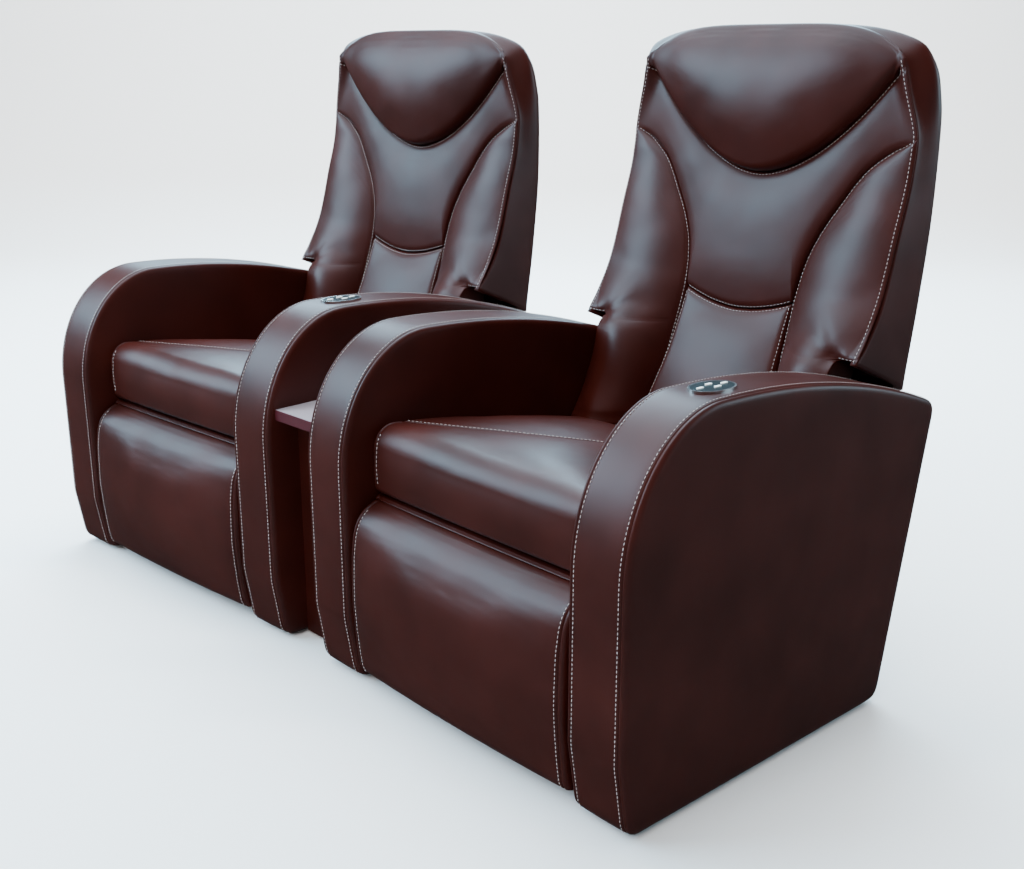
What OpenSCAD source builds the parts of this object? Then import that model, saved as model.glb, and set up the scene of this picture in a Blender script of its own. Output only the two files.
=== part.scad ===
// Two-place home cinema recliner: two powered recliners, turned a little apart,
// joined by a wedge console with a flat top.
// Each seat is drawn about its own centre plane, with y = 0 at the front of its arms and
// y growing to the rear, and is then set in its place beside the console.

/* [Pair] */
// Turn of each seat away from straight ahead, in degrees
seat_turn = 2.29; // [0:0.01:5]
// Gap between the two seats at the front of their arms
console_gap = 122; // [110:1:160]

/* [Arms] */
// Width of an arm
arm_w = 114; // [100:1:140]
// Height of an arm at its highest
arm_h = 636; // [600:1:680]
// Length of an arm from its front to its rear corner
arm_l = 760; // [720:1:800]
// Clear width between the arms of a seat
seat_w = 550; // [520:1:600]

/* [Seat] */
// Height of the seat cushion at its front
cushion_h = 478; // [460:1:500]
// Length of the seat cushion
cushion_l = 520; // [490:1:530]
// Gap between the footrest pad and each arm
footrest_gap = 8; // [5:0.5:20]
// Angle that the swing links turn as the footrest comes out, in degrees
swing_angle = 98; // [60:1:98]

/* [Back] */
// Height of the back at its highest
back_h = 1147; // [1100:1:1200]
// Width of the back above the arms
back_w = 628; // [600:2:640]
// Angle that the back reclines, in degrees
recline_angle = 35; // [20:1:40]

/* [Switch] */
// Length of the oval switch
switch_l = 90; // [80:1:100]
// Width of the oval switch
switch_w = 55; // [46:1:60]
// Travel of a key
key_travel = 0.8; // [0.5:0.1:1]

/* [Hidden] */

left = -1;
right = 1;
leather = "#3b2420";
seat_leather = "#432a26";
black_steel = "#26282a";
zinc = "#9a9c9e";
board_wood = "#b08a5c";
webbing_black = "#1e1d1c";
plastic_black = "#17181a";
key_white = "#e8e8e6";
rim_silver = "#c9cbcc";
console_grey = "#9d9da0";

// Clearances
soft_gap = 0.3;
run_gap = 0.05;
overrun = 1;
facet = 48;
hull_facet = 32;

// The whole unit
unit_w = seat_w + 2 * arm_w;
footrest_w = seat_w - 2 * footrest_gap;
back_rear_y = 839;
back_corner_in = 10;
depth_front = unit_w * sin(seat_turn);
depth_rear = back_rear_y * cos(seat_turn) - (unit_w - back_w) / 2 * sin(seat_turn) - back_corner_in;
origin_y = (depth_rear - depth_front) / 2;

// Arms
glide_h = 6;
glide_r = 14;
arm_crest_y = 192;
arm_shoulder_z = 400;
arm_top_r = 1600;
arm_rear_over = 6;
arm_rear_rake = 105;
arm_rear_top_y = arm_l + arm_rear_over;
arm_rear_foot_y = arm_rear_top_y - arm_rear_rake;
arm_front_foot_y = 20;
arm_rake_h = 124;
arm_corner_r = 30;
glide_in = 64;
arm_edge_r = 13;
arm_edge_steps = 3;
arm_rise_steps = 12;
arm_fall_steps = 8;
arm_x = (seat_w + arm_w) / 2;

// Switch on the top of the arm that is on the sitter's left
switch_y = 232;
switch_rim = 3;
switch_flange = 3.5;
switch_skirt = 14;
switch_pocket = 26;
switch_plate_t = 4;
switch_sink = 1.2;
key_l = 14;
key_w = 5.4;
key_proud = 1.4;
key_gap = 0.25;
key_side_x = 8.5;
key_mid_y = 2;
key_end_y = 27;
// Where each key lies on the plate: across and along
key_places = [[0, -key_end_y], [-key_side_x, key_mid_y], [key_side_x, key_mid_y], [0, key_end_y]];

// Base frame: rails on the arms' feet line, side plates, cross tubes
rail_w = 26;
rail_h = 30;
rail_z = 40;
rail_front_y = 120;
rail_rear_y = 655;
plate_t = 4;
plate_in = 31;
plate_x = seat_w / 2 - plate_in;
plate_top_z = 290;
plate_front_y = 112;
plate_rear_y = 640;
tube_s = 25;
cross_z = 140;
front_cross_y = 335;
rear_cross_y = 600;
low_cross_y = 560;

// Footrest linkage: pivots at rest, along y and z, in a seat
swing_pivot = [167, 262];
swing_r = 147;
swing_rest = -60;
pad_pivot = [107, 266];
board_pivot = [125, 225];
tail_share = 0.29;
guide_pivot = [208, 226];
guide_reach = 43;
pin_r = 6;
open_gap = 1.4;
link_w = 20;
link_t = 5;
link_layer = 8;
link_in = 11;
link_x = plate_x - link_in;
guide_pin_x = link_x - 2 * link_layer - overrun;
drive_r = 10;
drive_eye = 30;
strap_share = 0.8;
crank_r = 60;
crank_sway_share = 0.04;
crank_t = 8;
crank_x = 90;

// Derived pivots of the linkage
elbow_pivot = [swing_pivot[0] + swing_r * cos(swing_rest), swing_pivot[1] + swing_r * sin(swing_rest)];
tail_pivot = elbow_pivot + tail_share * (elbow_pivot - pad_pivot);
guide_dir = (tail_pivot - guide_pivot) / norm(tail_pivot - guide_pivot);
knee_pivot = tail_pivot + guide_reach * guide_dir;

// Back: the spine is the front face of its board, a parabola from its foot to its top
spine_top_y = 780;
spine_top_in = 27;
spine_top_z = back_h - spine_top_in;
spine_foot_y = 620;
spine_foot_z = 385;
spine_board = 12;
board_rows = 36;
board_clear = 3;
wing_z = 600;
lower_back_in = 25;
lower_pad_in = 5;
lower_back_w = seat_w - 2 * lower_back_in;
lower_pad_w = seat_w - 2 * lower_pad_in;
shell_wall = 12;
seam_gap = 0.5;
shell_corner = 30;
shell_inner_r = 3;
shell_clear = 1.3;
shell_lip = 14;
shell_drop = 74;
shell_fade_share = 0.68;
shell_rows = 12;
// Height share, then the shares of the lip that the front and the rear are drawn in by
shell_shares = [
    [0, 0, 0], [0.06, 0, 0], [0.2, 0, 0], [0.38, 0, 0], [0.55, 0, 0], [0.68, 0, 0], [0.74, 0, 0],
    [0.82, 0, 0], [0.9, 0, 0], [0.955, 0, 0], [0.985, 0.3, 0.3], [1, 1, 1]
];
// Places across a pad of the back, as shares of its half width
pad_places = [-1, -0.96, -0.85, -0.6, -0.35, -0.15, 0, 0.15, 0.35, 0.6, 0.85, 0.96, 1];
wing_places = [0, 0.05, 0.25, 0.5, 0.75, 0.94, 1];
headrest_in = 46;
headrest_half = back_w / 2 - headrest_in;
headrest_low_share = 0.775;
headrest_rise_share = 0.16;
headrest_low_z = back_h * headrest_low_share;
headrest_rise = back_h * headrest_rise_share;
headrest_rim = 20;
headrest_dome = 46;
bow_round_share = 0.02;
crown_drop = 49;
crown_cover = 8;
centre_rim = 15;
centre_dome = 16;
lumbar_low_z = 418;
lumbar_fill = 30;
wing_dome = 16;
wing_edge = 6;
shell_bow = 10;
// Height share, then the share of the depth at the front edge of the boxing
edge_shares = [
    [0.336, 0.62], [0.384, 0.665], [0.439, 0.7], [0.508, 0.734], [0.522, 0.757], [0.555, 0.78],
    [0.615, 0.825], [0.707, 0.864], [0.788, 0.896], [0.838, 0.906], [0.857, 0.9], [0.95, 0.893], [1, 0.905]
];
rear_shares = [
    [0.336, 0.91], [0.467, 0.944], [0.522, 0.952], [0.638, 0.975], [0.759, 0.988], [0.87, 0.982],
    [0.905, 0.974], [0.949, 0.962], [0.985, 0.952], [1, 0.947]
];
width_shares = [
    [0.3, 1], [0.838, 1], [0.857, 0.982], [0.906, 0.935], [0.95, 0.9], [0.985, 0.88], [1, 0.87]
];
wing_seam_shares = [
    [0.34, 0.45], [0.39, 0.44], [0.49, 0.4], [0.582, 0.392], [0.615, 0.401], [0.65, 0.424],
    [0.689, 0.478], [0.734, 0.573], [0.785, 0.7], [0.815, 0.834], [0.833, 0.955]
];
// Half width share, then the height shares of the middle and of the ends of each row
centre_shares = [
    [0.392, 0.5605, 0.5825], [0.401, 0.593, 0.615], [0.424, 0.621, 0.65], [0.478, 0.65, 0.689],
    [0.573, 0.68, 0.734], [0.7, 0.71, 0.785], [0.834, 0.734, 0.815], [0.955, 0.751, 0.833],
    [0.943, 0.76, 0.85], [0.9, 0.767, 0.9], [2 * headrest_half / back_w, 0.771, 0.925],
    [2 * headrest_half / back_w, headrest_low_share, headrest_low_share + headrest_rise_share]
];
wing_top_share = 0.826;
// Rows of a wing below and above its step: share of that stretch's height, and how full the row is
wing_low_shares = [[0, 0.6], [0.05, 1], [0.38, 1], [0.85, 1], [0.966, 0.9]];
wing_high_shares = [
    [0.011, 0.9], [0.056, 1], [0.25, 1], [0.52, 1], [0.75, 0.9], [0.914, 0.7], [0.973, 0.5], [1, 0.3]
];

// Back hinge and its drive
hinge_y = 732;
hinge_z = 330;
hinge_tube_r = 11;
hinge_eye = 34;
bracket_t = 5;
bracket_clear = 1.5;
bracket_x = plate_x + plate_t + bracket_clear;
bracket_top_z = 545;
bracket_mid_z = (bracket_top_z + spine_foot_z) / 2;
bracket_low_z = spine_foot_z + 2 * spine_board;
back_crank_r = 75;

// Motors and rails
guide_rail_w = 36;
guide_rail_h = 24;
guide_rail_wall = 3;
guide_rail_z = cross_z + tube_s;
foot_rail_front = 128;
foot_rail_rear = 500;
back_rail_front = 300;
back_rail_rear = 748;
motor_r = 21;
motor_l = 86;
gearbox_l = 52;
gearbox_w = 60;
gearbox_h = 58;
slider_l = 40;
slider_reach = 35;
ear_t = 5;
ear_w = 30;
rail_x = crank_x - crank_t / 2 - ear_t / 2 - overrun;

// Seat frame and webbing
frame_board = 20;
frame_front_y = 100;
frame_rear_y = 590;
frame_in = 17;
frame_x = seat_w / 2 - frame_in;
frame_top_z = 336;
web_t = 2.5;
web_w = 48;
web_long = 5;
web_cross = 4;

// Seat cushion
cushion_front_y = 62;
cushion_bottom_z = frame_top_z + web_t + web_t + soft_gap;
cushion_side_gap = 3;
cushion_fall = 84;
cushion_peak_share = 0.1;
cushion_crown = 8;
cushion_bulge = 10;
cushion_nose_r = 40;
cushion_chin_r = 22;
cushion_heel_r = 20;
cushion_side_r = 16;
channel_depth = 4;
channel_w = 8;
cushion_half = seat_w / 2 - cushion_side_gap;
cushion_draw = 3;
cushion_seam_near = 50;
cushion_seam_far = 333;

// Footrest board and pad
board_t = 15;
board_in = 17;
board_w = footrest_w - 2 * board_in;
board_rear_y = 92;
board_low_z = 46;
board_high_z = 322;
pad_low_z = 30;
pad_high_z = 336;
pad_side_r = 16;
pad_depth = 84;
pad_swell = 0.12;
pad_rim = 8;
pad_shares = [
    [0, 0.7], [0.05, 0.76], [0.27, 0.86], [0.46, 0.9], [0.67, 0.85], [0.81, 0.72], [0.92, 0.46],
    [0.975, 0.26], [1, 0.12]
];

// Console between the seats
console_front_y = 22;
console_rear_y = 600;
console_top_z = 467;
console_top_t = 20;
console_wall = 15;
console_recess = 70;
console_lift = 12;
console_gap_side = 0.4;

module place(side) {
    translate([side * console_gap / 2, -origin_y, 0])
        rotate([0, 0, -side * seat_turn])
            translate([side * unit_w / 2, 0, 0])
                children();
}

// Lays a shape drawn in y and z across a stretch of x
module across(from, to) {
    translate([from, 0, 0])
        rotate([90, 0, 90])
            linear_extrude(height = to - from)
                children();
}

module pin_across(from, to, at, r) {
    translate([from, at[0], at[1]])
        rotate([0, 90, 0])
            cylinder(h = to - from, r = r, $fn = facet);
}

// A flat link in y and z, with a round eye at each end of a narrower strap
module link_shape(a, b, eye_a, eye_b) {
    strap_w = min(eye_a, eye_b) * strap_share;
    translate(a)
        rotate(atan2(b[1] - a[1], b[0] - a[0]))
            translate([0, -strap_w / 2])
                square([norm(b - a), strap_w]);
    translate(a)
        circle(d = eye_a, $fn = facet);
    translate(b)
        circle(d = eye_b, $fn = facet);
}

// Closed solid through rings of equally many points, listed front first and back in reverse
function ring_quad(i, j, k, n) =
    let (a = i * n + j, b = i * n + k, c = (i + 1) * n + k, d = (i + 1) * n + j)
    [[a, c, b], [a, d, c]];
function cap_quad(base, j, n) =
    [[base + j, base + j + 1, base + n - 2 - j], [base + j, base + n - 2 - j, base + n - 1 - j]];
module loft(rings) {
    m = len(rings);
    n = len(rings[0]);
    points = [for (r = rings) for (p = r) p];
    sides = [for (i = [0:m - 2]) for (j = [0:n - 1]) for (t = ring_quad(i, j, (j + 1) % n, n)) t];
    low = [for (j = [0:n / 2 - 2]) for (t = cap_quad(0, j, n)) t];
    high = [for (j = [0:n / 2 - 2]) for (t = cap_quad((m - 1) * n, j, n)) [t[2], t[1], t[0]]];
    polyhedron(points = points, faces = concat(sides, low, high), convexity = 6);
}

// Arms: an upholstered slab with a rolled front, a long falling top and turned edges
function arm_drop(y) = arm_top_r - sqrt(arm_top_r * arm_top_r - (y - arm_crest_y) * (y - arm_crest_y));
module arm_outline() {
    crest_h = arm_h - arm_shoulder_z;
    rise = [
        for (i = [0:arm_rise_steps])
            let (t = 180 - 90 * i / arm_rise_steps)
            [arm_crest_y + arm_crest_y * cos(t), arm_shoulder_z + crest_h * sin(t)]
    ];
    fall = [
        for (i = [1:arm_fall_steps])
            let (y = arm_crest_y + (arm_rear_top_y - arm_crest_y) * i / arm_fall_steps)
            [y, arm_h - arm_drop(y)]
    ];
    foot = [[arm_rear_foot_y, glide_h], [arm_front_foot_y, glide_h], [0, glide_h + arm_rake_h]];
    offset(r = arm_corner_r, $fn = hull_facet)
        offset(delta = -arm_corner_r)
            polygon(concat(rise, fall, foot));
}

module arm_body() {
    hull()
        for (i = [0:arm_edge_steps])
            let (turn = 90 * i / arm_edge_steps, half = arm_w / 2 - arm_edge_r * (1 - sin(turn)))
                across(-half, half)
                    offset(delta = -arm_edge_r * (1 - cos(turn)))
                        arm_outline();
}

module at_switch() {
    translate([arm_x, switch_y, arm_h - arm_drop(switch_y)])
        rotate([-asin((switch_y - arm_crest_y) / arm_top_r), 0, 0])
            children();
}

// An oval drawn as its own smooth outline
module oval(l, w) {
    polygon([for (i = [0:facet - 1]) let (t = 360 * i / facet) [w / 2 * cos(t), l / 2 * sin(t)]]);
}

module plain_arm() {
    color(leather)
        translate([-arm_x, 0, 0])
            arm_body();
}

module switch_arm() {
    color(leather)
        difference() {
            translate([arm_x, 0, 0])
                arm_body();
            at_switch() {
                translate([0, 0, -switch_pocket])
                    linear_extrude(height = switch_pocket + overrun)
                        oval(switch_l - 4 * switch_rim, switch_w - 4 * switch_rim);
                translate([0, 0, -switch_sink])
                    linear_extrude(height = switch_sink + overrun)
                        oval(switch_l + 2 * key_gap, switch_w + 2 * key_gap);
            }
        }
}

// The rim of the switch, with a skirt that drops into the arm
module switch_bezel() {
    opening_l = switch_l - 2 * switch_rim;
    opening_w = switch_w - 2 * switch_rim;
    skirt_l = switch_l - 4 * switch_rim - 2 * key_gap;
    skirt_w = switch_w - 4 * switch_rim - 2 * key_gap;
    color(rim_silver)
        at_switch()
            difference() {
                union() {
                    translate([0, 0, -switch_sink])
                        linear_extrude(height = switch_flange + switch_sink)
                            oval(switch_l, switch_w);
                    translate([0, 0, -switch_sink - switch_skirt])
                        linear_extrude(height = switch_skirt + switch_sink)
                            oval(skirt_l, skirt_w);
                }
                translate([0, 0, switch_flange - switch_plate_t])
                    linear_extrude(height = switch_plate_t + overrun)
                        oval(opening_l, opening_w);
                translate([0, 0, -switch_sink - switch_skirt - overrun])
                    linear_extrude(height = switch_skirt + switch_flange)
                        oval(skirt_l - 2 * switch_rim, skirt_w - 2 * switch_rim);
            }
}

module key_shape(grow) {
    straight = key_l - key_w;
    for (end = [-1, 1])
        translate([0, end * straight / 2])
            circle(d = key_w + 2 * grow, $fn = facet);
    square([key_w + 2 * grow, straight], center = true);
}

// The dark face of the switch, with a hole for each key
module switch_plate() {
    face_l = switch_l - 2 * switch_rim - 2 * key_gap;
    face_w = switch_w - 2 * switch_rim - 2 * key_gap;
    color(plastic_black)
        at_switch()
            difference() {
                translate([0, 0, switch_flange - switch_plate_t])
                    linear_extrude(height = switch_plate_t)
                        oval(face_l, face_w);
                for (place = key_places)
                    translate([place[0], place[1], switch_flange - switch_plate_t - overrun])
                        linear_extrude(height = switch_plate_t + 2 * overrun)
                            key_shape(key_gap);
            }
}

// A rubber key with a foot that is wider than its hole
module key(which) {
    color(key_white)
        at_switch()
            translate([key_places[which][0], key_places[which][1], switch_flange - switch_plate_t]) {
                linear_extrude(height = switch_plate_t + key_proud)
                    key_shape(0);
                translate([0, 0, -key_gap - overrun])
                    linear_extrude(height = overrun)
                        key_shape(overrun);
                translate([0, 0, -key_gap - overrun])
                    linear_extrude(height = key_gap + 2 * overrun)
                        key_shape(0);
            }
}

module arm_glides() {
    color(plastic_black)
        for (x = [-arm_x, arm_x])
            for (y = [arm_front_foot_y + glide_in, arm_rear_foot_y - glide_in])
                translate([x, y, 0])
                    cylinder(h = glide_h, r = glide_r, $fn = facet);
}

// Base: rails and cross tubes between the arms, with the side plates that carry every pivot
module side_plate_outline() {
    difference() {
        union() {
            polygon([
                [plate_front_y, rail_z + rail_h], [plate_rear_y, rail_z + rail_h],
                [hinge_y + hinge_tube_r, hinge_z - 2 * hinge_tube_r],
                [hinge_y - hinge_tube_r, hinge_z + hinge_tube_r],
                [plate_rear_y - tube_s, plate_top_z], [plate_front_y, plate_top_z]
            ]);
            translate([hinge_y, hinge_z])
                circle(r = 2 * hinge_tube_r, $fn = facet);
        }
        translate([hinge_y, hinge_z])
            circle(r = hinge_tube_r + run_gap, $fn = facet);
        translate(swing_pivot)
            circle(r = drive_r + run_gap, $fn = facet);
        for (y = [front_cross_y + 2 * tube_s, (front_cross_y + rear_cross_y) / 2 + tube_s])
            translate([y, rail_z + rail_h + tube_s])
                square([3 * tube_s, plate_top_z - rail_z - rail_h - 2 * tube_s]);
    }
}

module base_frame() {
    color(black_steel) {
        for (s = [-1, 1]) {
            across(s > 0 ? plate_x : -plate_x - plate_t, s > 0 ? plate_x + plate_t : -plate_x)
                side_plate_outline();
            translate([s * (plate_x + rail_w / 2) - rail_w / 2, rail_front_y, rail_z])
                cube([rail_w, rail_rear_y - rail_front_y, rail_h]);
            pin_across(s > 0 ? guide_pin_x : -plate_x, s > 0 ? plate_x : -guide_pin_x, guide_pivot, pin_r);
        }
        for (y = [front_cross_y, rear_cross_y])
            translate([-plate_x, y, cross_z])
                cube([2 * plate_x, tube_s, tube_s]);
        translate([-seat_w / 2, low_cross_y, rail_z])
            cube([seat_w, tube_s, rail_h]);
        translate([-seat_w / 2, front_cross_y, rail_z])
            cube([seat_w, tube_s, rail_h]);
    }
}

// Links of the footrest, the same on both sides. Layer 0 is next to the side plate.
module on_layer(k) {
    for (s = [-1, 1])
        let (near = link_x - k * link_layer, from = s > 0 ? near : -near - link_t)
            across(from, from + link_t)
                children();
}

module stud(k_from, k_to, at) {
    inner = link_x - max(k_from, k_to) * link_layer - overrun;
    outer = link_x - min(k_from, k_to) * link_layer + link_t + overrun;
    pin_across(inner, outer, at, pin_r);
    pin_across(-outer, -inner, at, pin_r);
}

module swing_links() {
    crank_angle = swing_angle / 2 - 90;
    crank_end = swing_pivot + crank_r * [cos(crank_angle), sin(crank_angle)];
    color(zinc) {
        on_layer(0)
            difference() {
                link_shape(swing_pivot, elbow_pivot, drive_eye, link_w);
                translate(elbow_pivot)
                    circle(r = pin_r + run_gap, $fn = facet);
            }
        pin_across(-plate_x - plate_t - pin_r, plate_x + plate_t + pin_r, swing_pivot, drive_r);
        across(-crank_x - crank_t / 2, -crank_x + crank_t / 2)
            link_shape(swing_pivot, crank_end, drive_eye, link_w);
        pin_across(-crank_x - crank_t / 2, -crank_x + crank_t / 2 + 2 * ear_t, crank_end, ear_t);
    }
}

module reach_links() {
    color(zinc) {
        on_layer(1)
            difference() {
                link_shape(tail_pivot, pad_pivot, link_w, link_w);
                translate(pad_pivot)
                    circle(r = pin_r + run_gap, $fn = facet);
            }
        stud(0, 1, elbow_pivot);
        stud(1, 2, tail_pivot);
    }
}

module guide_links() {
    color(zinc)
        on_layer(2)
            difference() {
                link_shape(guide_pivot, knee_pivot, link_w, link_w);
                translate(guide_pivot)
                    circle(r = pin_r + run_gap, $fn = facet);
                translate(tail_pivot)
                    circle(r = pin_r + open_gap, $fn = facet);
                translate(knee_pivot)
                    circle(r = pin_r + run_gap, $fn = facet);
            }
}

module footrest_links() {
    color(zinc) {
        on_layer(3)
            difference() {
                link_shape(knee_pivot, board_pivot, link_w, link_w);
                translate(board_pivot)
                    circle(r = pin_r + open_gap, $fn = facet);
            }
        stud(2, 3, knee_pivot);
    }
}

module footrest_board() {
    foot_y = board_rear_y - board_t;
    color(board_wood)
        translate([-board_w / 2, foot_y, board_low_z])
            cube([board_w, board_t, board_high_z - board_low_z]);
    color(zinc) {
        on_layer(4) {
            polygon([
                [board_rear_y - overrun, board_pivot[1] - 2 * link_w],
                [board_rear_y + plate_t, board_pivot[1] - 2 * link_w],
                [board_pivot[0] + link_w / 3, board_pivot[1] - link_w / 3],
                [pad_pivot[0] + link_w / 2, pad_pivot[1]],
                [board_rear_y + plate_t, pad_pivot[1] + link_w],
                [board_rear_y - overrun, pad_pivot[1] + link_w]
            ]);
            for (at = [pad_pivot, board_pivot])
                translate(at)
                    circle(d = link_w, $fn = facet);
        }
        stud(1, 4, pad_pivot);
        stud(3, 4, board_pivot);
    }
}

// Motors: a gearbox and motor at one end of a channel that guides the slider
module guide_channel(front, rear) {
    difference() {
        translate([-guide_rail_w / 2, front, 0])
            cube([guide_rail_w, rear - front, guide_rail_h]);
        translate([-guide_rail_w / 2 + guide_rail_wall, front - overrun, guide_rail_wall])
            cube([guide_rail_w - 2 * guide_rail_wall, rear - front + 2 * overrun, guide_rail_h]);
    }
}

module gear_motor(end_y, way) {
    translate([0, end_y + way * gearbox_l / 2, guide_rail_h / 2])
        cube([gearbox_w, gearbox_l, gearbox_h], center = true);
    translate([0, end_y + way * gearbox_l / 2, guide_rail_h / 2 - gearbox_h / 2])
        rotate([180, 0, 0])
            cylinder(h = motor_l - gearbox_l / 2, r = motor_r, $fn = facet);
}

module footrest_motor() {
    color(plastic_black)
        translate([-rail_x, 0, guide_rail_z]) {
            guide_channel(foot_rail_front, foot_rail_rear);
            gear_motor(foot_rail_rear, 1);
        }
}

module back_motor() {
    color(plastic_black)
        translate([rail_x, 0, guide_rail_z]) {
            guide_channel(back_rail_front, back_rail_rear);
            gear_motor(back_rail_front, -1);
        }
}

// A slider with an upright slotted ear, in which the crank's pin runs
module slider(pin_y, way, low, high, half_slot) {
    block_y = pin_y - way * slider_reach;
    inside = guide_rail_w / 2 - guide_rail_wall - soft_gap;
    bottom = guide_rail_z + guide_rail_wall + soft_gap;
    top = guide_rail_z + guide_rail_h + ear_t;
    color(rim_silver) {
        translate([-inside, block_y - slider_l / 2, bottom])
            cube([2 * inside, slider_l, top - bottom]);
        difference() {
            translate([-ear_t / 2, min(block_y, pin_y - ear_w / 2), top - ear_t])
                cube([ear_t, abs(pin_y - block_y) + ear_w / 2, high + ear_t + pin_r - top + ear_t]);
            translate([-ear_t, pin_y - half_slot, low - ear_t - soft_gap])
                cube([2 * ear_t, 2 * half_slot, high - low + 2 * ear_t + 2 * soft_gap]);
        }
    }
}

module footrest_slider() {
    slot_half = ear_t + crank_r * crank_sway_share + soft_gap;
    half = swing_angle / 2;
    translate([-rail_x, 0, 0])
        slider(
            swing_pivot[0] + crank_r * sin(half), -1,
            swing_pivot[1] - crank_r, swing_pivot[1] - crank_r * cos(half), slot_half
        );
}

module back_slider() {
    slot_half = ear_t + 2 * soft_gap;
    half = recline_angle / 2;
    translate([rail_x, 0, 0])
        slider(
            hinge_y + back_crank_r * sin(half), 1,
            hinge_z - back_crank_r, hinge_z - back_crank_r * cos(half), slot_half
        );
}

// Seat frame: a plywood box on the side plates, with woven webbing across it
module seat_frame() {
    deep = frame_top_z - plate_top_z;
    long = frame_rear_y - frame_front_y;
    color(board_wood)
        difference() {
            translate([-frame_x, frame_front_y, plate_top_z])
                cube([2 * frame_x, long, deep]);
            translate([-frame_x + frame_board, frame_front_y + frame_board, plate_top_z - overrun])
                cube([2 * (frame_x - frame_board), long - 2 * frame_board, deep + 2 * overrun]);
        }
}

module seat_webbing() {
    inside = 2 * (frame_x - frame_board);
    long = frame_rear_y - frame_front_y;
    color(webbing_black) {
        for (i = [0:web_long - 1])
            translate([inside * ((i + 0.5) / web_long - 0.5) - web_w / 2, frame_front_y, frame_top_z])
                cube([web_w, long, web_t]);
        for (i = [0:web_cross - 1])
            let (y = frame_front_y + frame_board + (long - 2 * frame_board) * (i + 0.5) / web_cross)
                translate([-frame_x, y - web_w / 2, frame_top_z + web_t])
                    cube([2 * frame_x, web_w, web_t]);
    }
}

// Seat cushion: a bull nose in front, a crown, drawn-in sides and a seam sewn in a V from corner to corner
function cushion_fall_at(share) =
    let (past = max(share - cushion_peak_share, 0) / (1 - cushion_peak_share))
    cushion_fall * pow(past, 1.1);
function cushion_seam_y(x) =
    let (in_share = 1 - min(abs(x) / cushion_half, 1))
    cushion_front_y + cushion_seam_near + (cushion_seam_far - cushion_seam_near) * pow(in_share, 1.35);
// A place across the cushion runs from 0 in the middle to 1 at the rounding and 2 at the side
function cushion_x(place, share) =
    let (edge = cushion_half - cushion_draw * sin(180 * share), out = abs(place))
    out > 1 ? sign(place) * (edge - cushion_side_r * (2 - out)) : place * (edge - cushion_side_r);
function along(y) = min(max((y - cushion_front_y) / cushion_l, 0), 1);
function crown(place) = 1 - pow(min(abs(place) / 2, 1), 2);
// Spots along the cushion as places back, shares of the way down a rounded end, and which end it is
function end_spots(from, way, r, turns, end) =
    [for (a = turns) [from + way * r * (1 - cos(a)), r * (1 - sin(a)), end]];
function cushion_spots(front, rear, nose_r, heel_r, seam_y) =
    let (flat_front = front + nose_r, flat_rear = rear - heel_r)
    let (near = min(channel_w, (seam_y - flat_front) / 2), behind = flat_rear - seam_y - near)
    concat(
        end_spots(front, 1, nose_r, [0, 35, 65, 90], 0),
        [[flat_front + (seam_y - flat_front) / 3, 0, 0], [seam_y - near, 0, 0], [seam_y, 0, 1]],
        [for (i = [0:3]) [seam_y + near + behind * i / 4, 0, 0]],
        end_spots(rear, -1, heel_r, [90, 50, 0], 0)
    );
function cushion_ring(place, inset) =
    let (
        rear = cushion_front_y + cushion_l - inset,
        front = cushion_front_y - cushion_bulge * crown(place) + inset,
        lift = cushion_crown * crown(place) - inset,
        seam_y = cushion_seam_y(cushion_x(place, 0)),
        low = [
            for (s = cushion_spots(front, rear, cushion_chin_r, cushion_heel_r / 2, seam_y))
                [cushion_x(place, along(s[0])), s[0], cushion_bottom_z + inset + s[1]]
        ],
        top = [
            for (s = turned(cushion_spots(front, rear, cushion_nose_r, cushion_heel_r, seam_y)))
                let (share = along(s[0]), down = cushion_fall_at(share) + s[1] + channel_depth * s[2])
                [cushion_x(place, share), s[0], cushion_h + lift - down]
        ]
    )
    concat(low, top);

module seat_cushion() {
    // Place across and how far the rounding is drawn in
    half_columns = [
        [0, 0], [0.1, 0], [0.3, 0], [0.5, 0], [0.7, 0], [0.87, 0], [1, 0],
        [1.5, cushion_side_r * 0.13], [2, cushion_side_r * 0.7]
    ];
    columns = concat(
        [for (i = [len(half_columns) - 1:-1:1]) [-half_columns[i][0], half_columns[i][1]]],
        half_columns
    );
    color(seat_leather)
        loft([for (c = columns) cushion_ring(c[0], c[1])]);
}

// Footrest pad: full at the middle of its height, rolled over at its top
function pad_ring(across_share, inset) =
    let (
        x = footrest_w / 2 * across_share,
        back_y = board_rear_y - board_t - soft_gap,
        full = pad_depth * (1 + pad_swell * (1 - across_share * across_share)),
        rise = pad_high_z - pad_low_z,
        back = [for (p = pad_shares) [x, back_y, pad_low_z + rise * p[0]]],
        face = [
            for (i = [len(pad_shares) - 1:-1:0])
                let (p = pad_shares[i])
                [x, back_y - max(full * p[1] - inset, pad_rim), pad_low_z + rise * p[0]]
        ]
    )
    concat(back, face);

module footrest_pad() {
    half_columns = [
        [0, 0], [0.3, 0], [0.6, 0], [0.85, 0], [0.94, pad_side_r / 8], [0.985, pad_side_r / 2],
        [1, pad_side_r]
    ];
    columns = concat(
        [for (i = [len(half_columns) - 1:-1:1]) [-half_columns[i][0], half_columns[i][1]]],
        half_columns
    );
    color(leather)
        loft([for (c = columns) pad_ring(c[0], c[1])]);
}

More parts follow.
